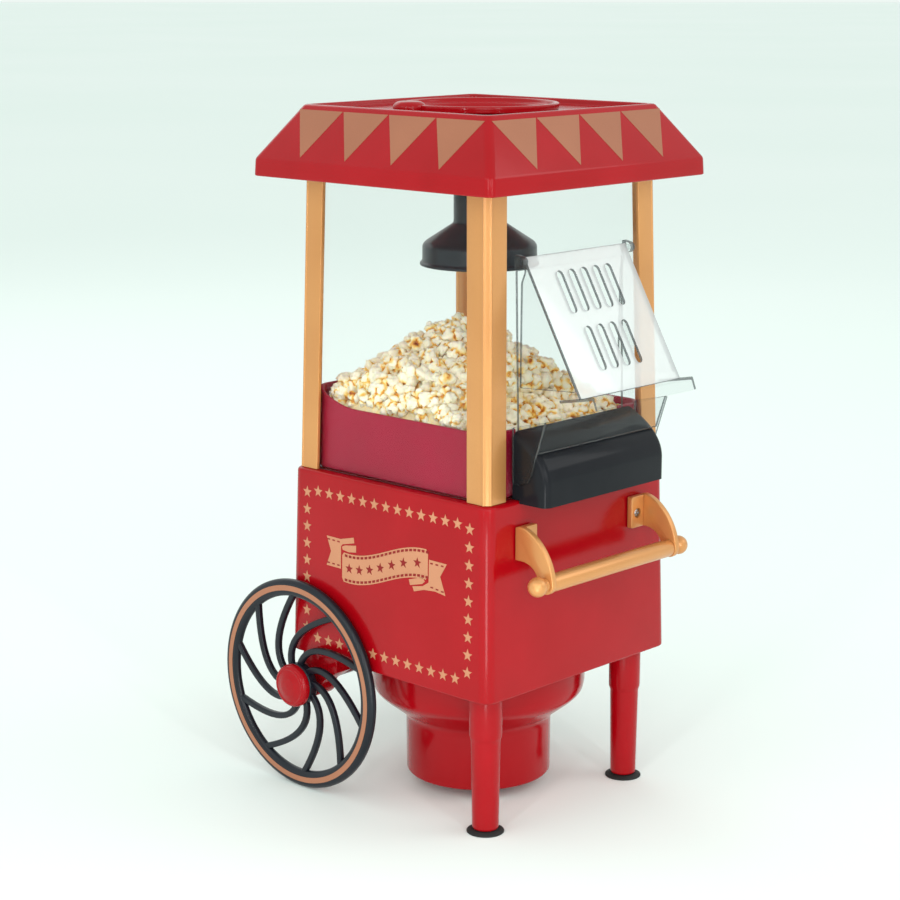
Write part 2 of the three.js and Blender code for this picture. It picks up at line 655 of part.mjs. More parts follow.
function measuringCup() {
  const { rest, radius, throat, low, tabRadius, tabHeight, tabOut, tabAngle } = CUP;
  const bowl = turned([[0, low], [30, low], [throat, rest - 2.6], [throat, rest], [radius, rest],
    [radius, rest + 3.4], [radius - 0.8, rest + 4.4], [radius - 2.4, rest + 4.4], [radius - 3, rest + 2],
    [throat - 2, rest + 2], [throat - 2, rest - 1.6], [29, low + 2], [0, low + 2]], SEGMENTS);
  const tab = turned([[0, rest], [tabRadius, rest], [tabRadius, rest + tabHeight - 2.4],
    [tabRadius - 2, rest + tabHeight - 0.5], [0, rest + tabHeight]], 20);
  tab.translate(tabOut * Math.cos(tabAngle), tabOut * Math.sin(tabAngle), 0);
  return join(bowl, tab);
}

function buildRoof() {
  add(cart, 'roof_canopy', roofCanopy(), red);
  add(cart, 'roof_ceiling', roofCeiling(), red);
  add(cart, 'feed_funnel', feedFunnel(), black);
  add(cart, 'feed_bell', feedBell(), black);
  add(cart, 'measuring_cup', measuringCup(), red);
}

// ---------------------------------------------------------------- wheels and axle
function axleBracket() {
  const { y, z, hole } = AXLE;
  const top = BASE.low + GAP;
  const shape = new THREE.Shape();
  shape.moveTo(y - 25, top);
  shape.lineTo(y - 25, 81);
  shape.lineTo(y - 13, 73);
  shape.absarc(y, z, 11, Math.PI, Math.PI * 2, false);
  shape.lineTo(y + 6, top);
  return cut(sideways(shape, -7, 7, 5), alongX(rod(hole, -9, 9, 16)).translate(0, y, z));
}

// One swept spoke lying in the XY plane, from the hub out along +X.
function spoke() {
  const { rimInner, spokeWidth } = WHEEL;
  const spine = new THREE.QuadraticBezierCurve(
    new THREE.Vector2(2.5, 9.5), new THREE.Vector2(20, 31.5), new THREE.Vector2(rimInner + 2, -0.5));
  const steps = 4;
  const left = [];
  const right = [];
  for (let i = 0; i <= steps; i += 1) {
    const point = spine.getPoint(i / steps);
    const across = spine.getTangent(i / steps).rotateAround(new THREE.Vector2(), Math.PI / 2);
    left.push(point.clone().addScaledVector(across, spokeWidth / 2));
    right.push(point.clone().addScaledVector(across, -spokeWidth / 2));
  }
  const outline = new THREE.Shape([...right, ...left.reverse()]);
  return new THREE.ExtrudeGeometry(outline, { depth: 3.8, bevelEnabled: false });
}

// The wheel lies flat about Z here, with its outer face up; z is the distance out from the middle.
function wheel() {
  const { radius, rimInner, inner, outer, hubRadius, hubInner, hubOuter, spokes } = WHEEL;
  const rim = turnedRing([[rimInner, inner + 0.6], [radius - 1.4, inner], [radius, inner + 1.4],
    [radius, outer - 1.8], [radius - 2, outer], [rimInner + 1, outer]], 36);
  const hub = rod(hubRadius, hubInner, hubOuter, 16);
  const arms = [];
  for (let i = 0; i < spokes; i += 1) {
    arms.push(spoke().rotateZ(i * 2 * Math.PI / spokes).translate(0, 0, inner + 1.1));
  }
  return cut(join(rim, hub, ...arms), rod(AXLE.hole, hubInner - 1, hubOuter + 1, 12));
}

function hubCap() {
  const { radius, face } = CAP;
  return turned([[0, face + 6.2], [9.4, face + 3.4], [radius - 2, face], [radius, face],
    [radius, face + 2.4], [radius - 1.8, face + 5], [8.2, face + 7], [0, face + 8]], 20);
}

function pushNut() {
  return turnedRing([[AXLE.radius + 0.2, 97.6], [7.5, 97.6], [7.5, 98.6], [AXLE.radius + 0.2, 98.6]], 16);
}

function buildWheels() {
  const axle = add(cart, 'wheel_axle', alongX(rod(AXLE.radius, -AXLE.half, AXLE.half, 16)), steel);
  axle.position.set(0, AXLE.y, AXLE.z);
  for (const [side, sign] of [['left', -1], ['right', 1]]) {
    add(cart, `${side}_axle_bracket`, axleBracket(), red).position.x = sign * 76.5;
    const group = new THREE.Group();
    group.position.set(0, AXLE.y, AXLE.z);
    group.rotation.set(0, sign * Math.PI / 2, 0);
    cart.add(group);
    // Seen from its own outer side, each wheel's spokes sweep the same way as they leave the hub.
    const disc = add(group, `${side}_wheel`, wheel(), black);
    disc.rotation.z = sign * SPOKE_START;
    add(group, `${side}_hub_cap`, hubCap(), red);
    add(group, `${side}_push_nut`, pushNut(), steel);
  }
}

// ---------------------------------------------------------------- switch and cord gland
function switchBezel() {
  const face = baseHalf(SWITCH.z) + 0.6;
  const plate = box(-9, 9, face, face + 2.4, -12, 12);
  const body = box(-5.8, 5.8, face - 12, face + 1, -8.8, 8.8);
  const pocket = box(-5, 5, face - 5, face + 4, -8, 8);
  return cut(join(plate, body), pocket);
}

// The rocker about its own pivot, level; it rests tipped to the off side.
function switchRocker() {
  const shape = polygon([[-2.4, -6.6], [3.4, -7.2], [2.4, 0], [3.4, 7.2], [-2.4, 6.6]]);
  return sideways(shape, -4.5, 4.5);
}

function cordGland() {
  const face = baseHalf(GLAND.z) + 0.5;
  return alongY(turnedRing([[3.2, face - 6], [5, face - 6], [5, face], [8.5, face], [8.5, face + 1.4],
    [6, face + 4.5], [3.2, face + 4.5]], 18));
}

function buildElectrics() {
  const face = baseHalf(SWITCH.z) + 0.6;
  add(cart, 'switch_bezel', switchBezel(), black).position.set(SWITCH.x, 0, SWITCH.z);
  const rocker = add(cart, 'switch_rocker', switchRocker(), red);
  rocker.position.set(SWITCH.x, face, SWITCH.z);
  rocker.rotation.x = THREE.MathUtils.degToRad(7);
  add(cart, 'cord_gland', cordGland(), black).position.set(GLAND.x, 0, GLAND.z);
}

buildBase();
buildAirPath();
buildBowl();
buildCabin();
buildChute();
buildHandle();
buildRoof();
buildWheels();
buildElectrics();

// The origin is on the floor, midway between the flap's grip at the front and the wheels' backs.
const extent = new THREE.Box3().setFromObject(cart, true);
cart.position.y = -Math.round((extent.min.y + extent.max.y) * 5) / 10;

export default cart;
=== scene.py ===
import math
import random

import bmesh
import bpy
from mathutils import Matrix, Vector, noise


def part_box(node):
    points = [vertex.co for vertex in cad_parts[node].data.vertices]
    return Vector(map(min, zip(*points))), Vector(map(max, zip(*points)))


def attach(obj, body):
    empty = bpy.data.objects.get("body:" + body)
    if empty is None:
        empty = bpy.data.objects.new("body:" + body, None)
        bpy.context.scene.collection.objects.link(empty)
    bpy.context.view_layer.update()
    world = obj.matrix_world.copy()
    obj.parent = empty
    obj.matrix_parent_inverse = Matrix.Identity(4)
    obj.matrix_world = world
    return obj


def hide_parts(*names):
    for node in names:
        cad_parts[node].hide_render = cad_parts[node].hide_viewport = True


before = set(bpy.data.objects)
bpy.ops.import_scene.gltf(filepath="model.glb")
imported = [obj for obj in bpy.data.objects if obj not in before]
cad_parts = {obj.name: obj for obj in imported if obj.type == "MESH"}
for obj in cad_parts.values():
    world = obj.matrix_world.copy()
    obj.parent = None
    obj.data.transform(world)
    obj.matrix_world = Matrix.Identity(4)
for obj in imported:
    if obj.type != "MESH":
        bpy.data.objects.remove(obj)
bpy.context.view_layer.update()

MM = 0.001
QUARTER = math.pi / 2
SIDES = (("left", -1), ("right", 1))


# ---- places taken from the frame
def span(node, axis):
    """Lowest and highest value of a CAD node along an axis, in millimetres."""
    low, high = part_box(node)
    return low[axis] / MM, high[axis] / MM


def middle(node, axis):
    low, high = span(node, axis)
    return (low + high) / 2


Y0 = middle("roof_canopy", 1)                      # the cabin's middle, front to back
BASE_LOW, BASE_TOP = span("base_housing", 2)
BASE_HALF_LOW = span("base_housing", 0)[1]
BASE_HALF_TOP = BASE_HALF_LOW - 2.8
ROOF_LOW, ROOF_TOP = span("roof_canopy", 2)
ROOF_HALF = span("roof_canopy", 0)[1]
ROOF_CREASE = ROOF_LOW + 11
ROOF_CREASE_HALF = ROOF_HALF - 0.5
ROOF_TOP_HALF = ROOF_HALF - 22.9
POST_CORNER = 83.8                                 # outer corner of the posts at the deck
PANE_HALF = 80.4                                   # outer face of the windows at the deck
PANE_THICK = 2.0
CABIN_LOW, CABIN_TOP = span("front_left_post", 2)
LEAN = 0.0222                                      # lean of the posts and windows per mm of height
AXLE_Y, AXLE_Z = middle("wheel_axle", 1), middle("wheel_axle", 2)
WHEEL_RADIUS = (span("left_wheel", 2)[1] - span("left_wheel", 2)[0]) / 2
HINGE_Y, HINGE_Z = middle("left_hinge_pin", 1), middle("left_hinge_pin", 2)
FLAP_ANGLE = math.radians(29.5)
BAR_Y, BAR_Z = middle("handle_bar", 1), middle("handle_bar", 2)
LEG_X, LEG_Y = middle("front_right_leg", 0), middle("front_right_leg", 1)


# ---- material helpers
def new_material(name):
    material = bpy.data.materials.new(name)
    material.use_nodes = True
    return material, material.node_tree.nodes, material.node_tree.links


def rgb(red, green, blue):
    """An sRGB colour given as 0 to 255 numbers, as linear values."""
    def linear(value):
        value /= 255
        return value / 12.92 if value <= 0.04045 else ((value + 0.055) / 1.055) ** 2.4
    return (linear(red), linear(green), linear(blue), 1.0)


def set_inputs(node, **values):
    """Sets a node's sockets; an underscore in a name stands for a space."""
    for name, value in values.items():
        node.inputs[name.replace("_", " ")].default_value = value


def noise_value(nodes, links, scale, detail, roughness=0.5):
    """Noise from 0 to 1 over the object's own coordinates."""
    place = nodes.new("ShaderNodeTexCoord")
    texture = nodes.new("ShaderNodeTexNoise")
    set_inputs(texture, Scale=scale, Detail=detail, Roughness=roughness)
    links.new(place.outputs["Object"], texture.inputs["Vector"])
    return texture.outputs["Fac"]


def ramp(nodes, links, source, low, high, first, last):
    """A colour that goes from first, where the source is low, to last, where it is high."""
    node = nodes.new("ShaderNodeValToRGB")
    for stop, position, shade in zip(node.color_ramp.elements, (low, high), (first, last)):
        stop.position = position
        stop.color = shade
    links.new(source, node.inputs["Fac"])
    return node.outputs["Color"]


def value_range(nodes, links, source, low, high):
    node = nodes.new("ShaderNodeMapRange")
    set_inputs(node, To_Min=low, To_Max=high)
    links.new(source, node.inputs["Value"])
    return node.outputs["Result"]


def bump(nodes, links, source, strength, distance=0.0004):
    """Lifts the surface by a noise; distance is in metres."""
    lift = nodes.new("ShaderNodeBump")
    set_inputs(lift, Strength=strength, Distance=distance)
    links.new(source, lift.inputs["Height"])
    links.new(lift.outputs["Normal"], nodes["Principled BSDF"].inputs["Normal"])


def plastic(name, dark, light, roughness, mottle=60, relief=0.015, specular=0.5):
    """Moulded plastic: slow colour drift, gloss that varies with it, and a fine surface grain."""
    material, nodes, links = new_material(name)
    shader = nodes["Principled BSDF"]
    slow = noise_value(nodes, links, mottle, 3)
    links.new(ramp(nodes, links, slow, 0.3, 0.7, dark, light), shader.inputs["Base Color"])
    links.new(value_range(nodes, links, slow, *roughness), shader.inputs["Roughness"])
    bump(nodes, links, noise_value(nodes, links, 2500, 2), relief)
    set_inputs(shader, Specular_IOR_Level=specular)
    return material


def gilt_paint(name, dark, light, metallic=0.45, gloss=(0.28, 0.42), coat=0.3):
    """Gold lacquer: fine metallic flake under a satin coat."""
    material, nodes, links = new_material(name)
    shader = nodes["Principled BSDF"]
    slow = noise_value(nodes, links, 14, 2)
    flake = noise_value(nodes, links, 5200, 1)
    mix = nodes.new("ShaderNodeMix")
    mix.data_type = "FLOAT"
    set_inputs(mix, Factor=0.5)
    links.new(slow, mix.inputs["A"])
    links.new(flake, mix.inputs["B"])
    colour = ramp(nodes, links, mix.outputs["Result"], 0.3, 0.7, dark, light)
    links.new(colour, shader.inputs["Base Color"])
    links.new(value_range(nodes, links, flake, *gloss), shader.inputs["Roughness"])
    bump(nodes, links, flake, 0.04, 0.0002)
    set_inputs(shader, Metallic=metallic, Coat_Weight=coat, Coat_Roughness=0.12)
    return material


def brushed(name, dark, light):
    """Bare metal with fine lines along one way."""
    material, nodes, links = new_material(name)
    shader = nodes["Principled BSDF"]
    place = nodes.new("ShaderNodeTexCoord")
    stretch = nodes.new("ShaderNodeMapping")
    set_inputs(stretch, Scale=(1, 1, 40))
    lines = nodes.new("ShaderNodeTexNoise")
    set_inputs(lines, Scale=90)
    links.new(place.outputs["Object"], stretch.inputs["Vector"])
    links.new(stretch.outputs["Vector"], lines.inputs["Vector"])
    links.new(ramp(nodes, links, lines.outputs["Fac"], 0.3, 0.7, dark, light), shader.inputs["Base Color"])
    links.new(value_range(nodes, links, lines.outputs["Fac"], 0.22, 0.4), shader.inputs["Roughness"])
    set_inputs(shader, Metallic=1.0)
    return material


def mixed(nodes, links, factor, first, second):
    """A shader that goes from the first to the second as the factor grows."""
    mix = nodes.new("ShaderNodeMixShader")
    for socket, source in zip(mix.inputs, (factor, first, second)):
        links.new(source, socket)
    return mix.outputs["Shader"]


def clear_plastic(name, tint, haze, edge, base, milk_tone=0.86):
    """Thin clear plastic: it shows what is behind it, with gloss that grows towards grazing view."""
    material, nodes, links = new_material(name)
    nodes.remove(nodes["Principled BSDF"])
    through = nodes.new("ShaderNodeBsdfTransparent")
    set_inputs(through, Color=(*tint, 1))
    gloss = nodes.new("ShaderNodeBsdfGlossy")
    set_inputs(gloss, Roughness=0.03)
    milk = nodes.new("ShaderNodeBsdfDiffuse")
    set_inputs(milk, Color=(milk_tone, milk_tone * 1.01, milk_tone * 1.01, 1))
    smear = noise_value(nodes, links, 14, 2)
    milky = value_range(nodes, links, smear, haze * 0.7, haze * 1.3)
    body = mixed(nodes, links, milky, through.outputs["BSDF"], milk.outputs["BSDF"])
    facing = nodes.new("ShaderNodeLayerWeight")
    set_inputs(facing, Blend=0.5)
    steep = nodes.new("ShaderNodeMath")
    steep.operation = "POWER"
    steep.inputs[1].default_value = 3.5
    links.new(facing.outputs["Facing"], steep.inputs[0])
    mirror = value_range(nodes, links, steep.outputs["Value"], base, edge)
    shine = mixed(nodes, links, mirror, body, gloss.outputs["BSDF"])
    links.new(shine, nodes["Material Output"].inputs["Surface"])
    return material


def popcorn_material():
    """Puffed corn: white on the puffed lobes, yellow in the folds, brown where the hull still clings; the
    darker folds are partly painted shade in the creases.
    """
    material, nodes, links = new_material("popcorn")
    shader = nodes["Principled BSDF"]
    # The puff attribute carries the folds' yellow, painted shade in the creases and the hull's brown.
    fold_shade = nodes.new("ShaderNodeAttribute")
    fold_shade.attribute_name = "puff"
    drift = value_range(nodes, links, noise_value(nodes, links, 420, 3, 0.6), -0.22, 0.22)
    total = nodes.new("ShaderNodeMath")
    total.operation = "ADD"
    links.new(fold_shade.outputs["Fac"], total.inputs[0])
    links.new(drift, total.inputs[1])
    hull, puff = rgb(150, 66, 22), rgb(255, 246, 221)
    colour = ramp(nodes, links, total.outputs["Value"], 0.02, 0.68, hull, puff)
    between = ((0.13, rgb(205, 120, 36)), (0.29, rgb(248, 196, 92)), (0.46, rgb(255, 230, 166)))
    for position, shade in between:
        colour.node.color_ramp.elements.new(position).color = shade
    links.new(colour, shader.inputs["Base Color"])
    set_inputs(shader, Roughness=0.7, Specular_IOR_Level=0.3, Subsurface_Weight=0.3,
               Subsurface_Radius=(0.003, 0.0022, 0.0012))
    bump(nodes, links, noise_value(nodes, links, 1100, 3, 0.6), 0.35)
    return material


RED = plastic("red_gloss", rgb(159, 4, 15), rgb(167, 7, 20), (0.14, 0.19), 25, specular=0.25)
CRIMSON = plastic("crimson_gloss", rgb(150, 8, 44), rgb(160, 12, 50), (0.3, 0.36), 25, 0.003, 0.18)
BLACK = plastic("black_gloss", rgb(26, 27, 31), rgb(31, 32, 36), (0.12, 0.16), 25, specular=0.12)
SATIN_BLACK = plastic("black_satin", rgb(17, 21, 29), rgb(24, 28, 37), (0.26, 0.34), 40, 0.03, 0.34)
RUBBER = plastic("rubber", rgb(22, 22, 22), rgb(34, 34, 34), (0.7, 0.85), relief=0.2)
GILT = gilt_paint("gilt_lacquer", rgb(200, 134, 74), rgb(224, 160, 96))
PRINT = gilt_paint("gilt_print", rgb(192, 126, 90), rgb(212, 146, 108), 0.15, (0.4, 0.5), 0.1)
PENNANT = gilt_paint("pennant_print", rgb(150, 88, 58), rgb(172, 106, 74), 0.1, (0.4, 0.5), 0.1)
COPPER = gilt_paint("copper_stripe", rgb(166, 104, 74), rgb(190, 126, 92), 0.3, (0.3, 0.4), 0.2)
PRINT_RED = plastic("print_red", rgb(132, 16, 16), rgb(144, 20, 20), (0.4, 0.5), specular=0.3)
STEEL = brushed("steel", rgb(150, 152, 156), rgb(202, 204, 208))
ALUMINIUM = brushed("aluminium", rgb(170, 172, 176), rgb(208, 210, 214))
CLEAR = clear_plastic("clear_window", (0.99, 0.993, 0.992), haze=0.003, edge=0.2, base=0.007)
CLEAR_FLAP = clear_plastic("clear_flap", (0.95, 0.957, 0.957), 0.42, 0.3, 0.05, milk_tone=0.93)
CLEAR_SIDE = clear_plastic("clear_side", (0.95, 0.957, 0.957), 0.003, 0.16, 0.004, milk_tone=0.85)
# Painted shade: a dark clear plastic for the narrow edge faces of the clear sheets, standing in for the
# darkness real clear edges show under light.
CLEAR_EDGE_SHADE = clear_plastic("clear_edge_painted_shade", (0.28, 0.292, 0.305), 0.1, 0.35, 0.06, milk_tone=0.4)
CORN = popcorn_material()
MICA = plastic("mica", rgb(176, 156, 112), rgb(208, 190, 150), (0.5, 0.7), 220)
BOARD = plastic("board_laminate", rgb(32, 88, 46), rgb(48, 112, 62), (0.4, 0.6), 180)


# ---- mesh helpers (millimetres in, metres out)
def shaded(obj, angle=40):
    """Smooth shading with edges sharper than the angle kept."""
    mesh = obj.data
    for face in mesh.polygons:
        face.use_smooth = True
    mesh.set_sharp_from_angle(angle=math.radians(angle))
    return obj


def linked(name, data):
    obj = bpy.data.objects.new(name, data)
    bpy.context.scene.collection.objects.link(obj)
    return obj


def moved(verts, matrix):
    return [tuple(matrix @ Vector(v)) for v in verts]


def outward_mesh(name, part, place):
    """A mesh from a part, which is its points and faces, with every face turned outwards."""
    verts, faces = part
    if place:
        verts = moved(verts, place)
    mesh = bpy.data.meshes.new(name)
    mesh.from_pydata([Vector(v) * MM for v in verts], [], faces)
    mesh.validate()
    work = bmesh.new()
    work.from_mesh(mesh)
    bmesh.ops.recalc_face_normals(work, faces=work.faces)
    work.to_mesh(mesh)
    work.free()
    return mesh


def build(name, part, material, *replaced, body="cart", place=None, angle=40):
    """A visible piece made from a part: it rides on a body and stands for the CAD nodes in replaced."""
    obj = linked(name, outward_mesh(name, part, place))
    obj.data.materials.append(material)
    shaded(obj, angle)
    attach(obj, body)
    if replaced:
        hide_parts(*replaced)
    return obj


def modified(obj, angle=40):
    """Applies the object's modifiers to its mesh."""
    graph = bpy.context.evaluated_depsgraph_get()
    graph.update()
    mesh = bpy.data.meshes.new_from_object(obj.evaluated_get(graph))
    obj.modifiers.clear()
    obj.data = mesh
    return shaded(obj, angle)


def bevelled(obj, width, segments):
    bevel = obj.modifiers.new("bevel", "BEVEL")
    bevel.width = width * MM
    bevel.segments = segments
    bevel.limit_method = "ANGLE"
    bevel.angle_limit = math.radians(30)
    return modified(obj)


def edge_shaded(obj, normal):
    """Gives the narrow faces round a clear sheet the dark edge material, which is painted shade for how
    clear edges look; normal is the sheet's own.
    """
    obj.data.materials.append(CLEAR_EDGE_SHADE)
    across = Vector(normal).normalized()
    for face in obj.data.polygons:
        if abs(face.normal.dot(across)) < 0.85:
            face.material_index = 1
    return obj


def carved(obj, part, place=None):
    """Cuts a piece by a closed part and removes the part."""
    tool = linked("tool", outward_mesh("tool", part, place))
    cut = obj.modifiers.new("cut", "BOOLEAN")
    cut.operation = "DIFFERENCE"
    cut.solver = "EXACT"
    cut.object = tool
    modified(obj)
    bpy.data.objects.remove(tool)
    return obj


def keep(node, material):
    """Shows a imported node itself, with a procedural finish and smooth curves."""
    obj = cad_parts[node]
    obj.data.materials.clear()
    obj.data.materials.append(material)
    shaded(obj, 35)


def bridged(rings, closed=False, capped=False):
    """Quads between rings of equal length; closed joins the last ring to the first, capped fills both."""
    count = len(rings[0])
    verts = [point for ring in rings for point in ring]
    faces = []
    pairs = len(rings) if closed else len(rings) - 1
    for i in range(pairs):
        a = i * count
        b = ((i + 1) % len(rings)) * count
        for j in range(count):
            k = (j + 1) % count
            faces.append((a + j, a + k, b + k, b + j))
    if capped:
        faces.append(tuple(reversed(range(count))))
        faces.append(tuple(range(len(verts) - count, len(verts))))
    return verts, faces


def lathe(profile, steps=64, closed=False):
    """A part turned about Z from (radius, height) points. Open profiles end on the axis."""
    angles = [2 * math.pi * i / steps for i in range(steps)]
    rings = [[(radius * math.cos(a), radius * math.sin(a), height) for a in angles]
             for radius, height in profile]
    return bridged(rings, closed, capped=not closed)


def plug(radius, low, high, steps):
    """A plain upright cylinder to cut a hole with."""
    return lathe([(0.01, low), (radius, low), (radius, high), (0.01, high)], steps)


def soft_profile(points, radius, steps=4, closed=False):
    """Rounds the corners of a profile with small arcs of about the radius."""
    count = len(points)
    rounded = []
    for i, point in enumerate(points):
        here = Vector(point)
        if not closed and i in (0, count - 1):
            rounded.append(tuple(here))
            continue
        before = Vector(points[i - 1]) - here
        after = Vector(points[(i + 1) % count]) - here
        reach = min(radius, before.length * 0.45, after.length * 0.45)
        if reach < 0.05 or before.angle(after) > math.radians(172):
            rounded.append(tuple(here))
            continue
        start = here + before.normalized() * reach
        end = here + after.normalized() * reach
        for step in range(steps + 1):
            t = step / steps
            rounded.append(tuple(start * (1 - t) ** 2 + here * 2 * t * (1 - t) + end * t ** 2))
    return rounded


def square_ring(half, corner, height, steps=8):
    """Points round a square with rounded corners, from the +X +Y corner anticlockwise."""
    points = []
    straight = half - corner
    for quarter, (sx, sy) in enumerate(((1, 1), (-1, 1), (-1, -1), (1, -1))):
        for step in range(steps + 1):
            angle = (quarter + step / steps) * QUARTER
            points.append((sx * straight + corner * math.cos(angle),
                           Y0 + sy * straight + corner * math.sin(angle), height))
    return points


def round_ring(radius, height, steps=8):
    """A circle with as many points as square_ring gives, each facing the same way."""
    points = []
    for quarter in range(4):
        for step in range(steps + 1):
            angle = (quarter + step / steps * 0.9 + 0.05) * QUARTER
            points.append((radius * math.cos(angle), Y0 + radius * math.sin(angle), height))
    return points


def prism(outline, start, end, axis="x"):
    """A closed outline extruded along an axis: (y, z) points for x, (x, z) for y and (x, y) for z."""
    count = len(outline)
    lay = {"x": lambda u, v, w: (w, u, v), "y": lambda u, v, w: (u, w, v),
           "z": lambda u, v, w: (u, v, w)}[axis]
    verts = [lay(u, v, w) for w in (start, end) for u, v in outline]
    faces = [tuple(range(count)), tuple(range(2 * count - 1, count - 1, -1))]
    faces += [(i, i + count, (i + 1) % count + count, (i + 1) % count) for i in range(count)]
    return verts, faces


def oblong(left, right, low, high):
    return [(left, low), (right, low), (right, high), (left, high)]


def arc(cx, cy, radius, start, end, steps):
    """Points on an arc, angles in degrees."""
    angles = [math.radians(start + (end - start) * i / steps) for i in range(steps + 1)]
    return [(cx + radius * math.cos(a), cy + radius * math.sin(a)) for a in angles]


def bezier(*controls, steps=14):
    """Points along the curve that three or more control points draw."""
    degree = len(controls) - 1
    points = []
    for i in range(steps + 1):
        t = i / steps
        weights = [math.comb(degree, k) * t ** k * (1 - t) ** (degree - k) for k in range(degree + 1)]
        points.append(tuple(sum(w * c for w, c in zip(weights, axis)) for axis in zip(*controls)))
    return points


def swept(path, section):
    """A closed section of (side, up) offsets carried along a level path of 3-D points, with capped ends."""
    rings = []
    up = Vector((0, 0, 1))
    for i, point in enumerate(path):
        ahead = Vector(path[min(i + 1, len(path) - 1)])
        behind = Vector(path[max(i - 1, 0)])
        side = (ahead - behind).normalized().cross(up).normalized()
        rings.append([tuple(Vector(point) + side * u + up * v) for u, v in section])
    return bridged(rings, capped=True)


def joined(*parts):
    verts = []
    faces = []
    for part_verts, part_faces in parts:
        shift = len(verts)
        verts += part_verts
        faces += [tuple(i + shift for i in face) for face in part_faces]
    return verts, faces


def upright(x, y):
    return Matrix.Translation((x, y, 0))


def crosswise(y, z, sign=1):
    """Lays a part made about Z along X, at the given y and z; its upper end points to the sign's side."""
    return Matrix.Translation((0, y, z)) @ Matrix.Rotation(sign * QUARTER, 4, "Y")


# ---- base
def base_half(height):
    share = (height - BASE_LOW) / (BASE_TOP - BASE_LOW)
    return BASE_HALF_LOW + (BASE_HALF_TOP - BASE_HALF_LOW) * share


def base_shell():
    """The housing: a tapered box with a softly rounded top edge, open below."""
    corner, roll, wall, deck = 8, 2.4, 2.6, 3
    deck_half, hole = 72, 40
    foot = base_half(BASE_LOW)
    rings = [square_ring(foot - wall, corner - 2, BASE_LOW), square_ring(foot - 0.5, corner, BASE_LOW),
             square_ring(foot - 0.1, corner, BASE_LOW + 0.5)]
    levels = [BASE_LOW + 1.2] + [BASE_LOW + (BASE_TOP - BASE_LOW) * share for share in (0.25, 0.5, 0.75)]
    rings += [square_ring(base_half(height), corner, height) for height in levels]
    for step in range(7):
        angle = step / 6 * QUARTER
        half = base_half(BASE_TOP - roll) - roll * (1 - math.cos(angle))
        rings.append(square_ring(half, corner, BASE_TOP - roll + roll * math.sin(angle)))
    rings += [square_ring(deck_half, corner, BASE_TOP), round_ring(hole, BASE_TOP),
              round_ring(hole, BASE_TOP - deck), square_ring(deck_half, corner, BASE_TOP - deck),
              square_ring(BASE_HALF_TOP - wall, corner - 2, BASE_TOP - deck)]
    build("base_shell", bridged(rings, closed=True), RED, "base_housing")


def flat_star(u, v, radius):
    """A five-pointed star with one point up: a centre point and ten rim points, with fan faces."""
    verts = [(u, v)]
    for i in range(10):
        reach = radius if i % 2 == 0 else radius * 0.42
        angle = QUARTER + i * math.pi / 5
        verts.append((u + reach * math.cos(angle), v + reach * math.sin(angle)))
    return verts, [(0, i + 1, (i + 1) % 10 + 1) for i in range(10)]


PRINT_LIFT = 0.12
BANNER = {"start": -39.0, "end": 37.3, "half": 9.7, "middle": 164.0, "swing": 7.8}


def side_place(side, u, height, lift=PRINT_LIFT):
    """A printed point on the base's side wall; u runs from the front to the back."""
    return (side * (base_half(height) + lift), Y0 + u, height)


def ribbon_point(p, across):
    """A point on the banner: p runs along it to the viewer's right, across runs up it."""
    wave = math.sin(math.pi * (p - 1) / 66)
    return p, BANNER["middle"] + BANNER["swing"] * wave + across


def ribbon_strip(start, end, low, high, steps):
    """A piece of the banner between two offsets from its middle line."""
    verts = []
    faces = []
    for i in range(steps + 1):
        p = start + (end - start) * i / steps
        verts += [ribbon_point(p, low), ribbon_point(p, high)]
    for i in range(steps):
        a = 2 * i
        faces.append((a, a + 2, a + 3, a + 1))
    return verts, faces


def ribbon_parts():
    """The gilt shapes of the banner, in (p, height): the waving band, its folds and its forked tails."""
    start, end, half = BANNER["start"], BANNER["end"], BANNER["half"]
    parts = [ribbon_strip(start + 1.6, end - 1.6, -half, half, 30)]
    for edge, inwards in ((start, 1.6), (end, -1.6)):
        low = ribbon_point(edge, 2.2 - half)
        high = ribbon_point(edge, half - 2.2)
        near_low = ribbon_point(edge + inwards, -half)
        near_high = ribbon_point(edge + inwards, half)
        parts.append(([low, near_low, near_high, high], [(0, 1, 2, 3)]))
    outlines = [
        [(-53.5, 174.6), (-40.6, 174.4), (-28.7, 177.4), (-28.1, 173.8), (-38.6, 171.3), (-40.2, 169.9),
         (-40.2, 154.8), (-53.5, 155.0), (-49.4, 164.9)],
        [(-39.3, 169.6), (-36.6, 170.9), (-26.4, 172.5), (-26.4, 168.0), (-33.0, 167.0), (-38.6, 167.7)],
        [(38.2, 175.3), (53.4, 175.1), (47.9, 166.2), (52.6, 154.8), (43.9, 156.0), (34.2, 155.2),
         (25.6, 152.6), (24.2, 155.6), (33.0, 157.4), (38.1, 160.6)],
        [(20.9, 159.4), (33.0, 163.2), (34.8, 160.6), (32.6, 158.7), (22.1, 156.0)],
    ]
    parts += [(outline, [tuple(range(len(outline)))]) for outline in outlines]
    return parts


def ribbon_marks():
    """The dark red marks on the banner, in (p, height): perforations along its edges and a row of stars."""
    parts = []
    for i in range(21):
        p = -36.5 + 3.6 * i
        for across in (-8.0, 8.0):
            parts.append(ribbon_strip(p, p + 2.4, across - 0.8, across + 0.8, 2))
    rows = [((-51.5, 172.6), (-42.5, 172.4)), ((-51.5, 157.0), (-42.5, 156.8)),
            ((40.4, 173.2), (49.6, 173.2)), ((41.0, 158.0), (50.0, 157.0))]
    for first, last in rows:
        for i in range(3):
            u = first[0] + (last[0] - first[0]) * i / 2 - 1.1
            v = first[1] + (last[1] - first[1]) * i / 2
            parts.append((oblong(u, u + 2.2, v - 0.45, v + 0.45), [(0, 1, 2, 3)]))
    for p in (-32.5, -23.3, -14.0, -4.4, 5.7, 16.1, 28.2):
        parts.append(flat_star(*ribbon_point(p, 0), 3.5))
    return parts


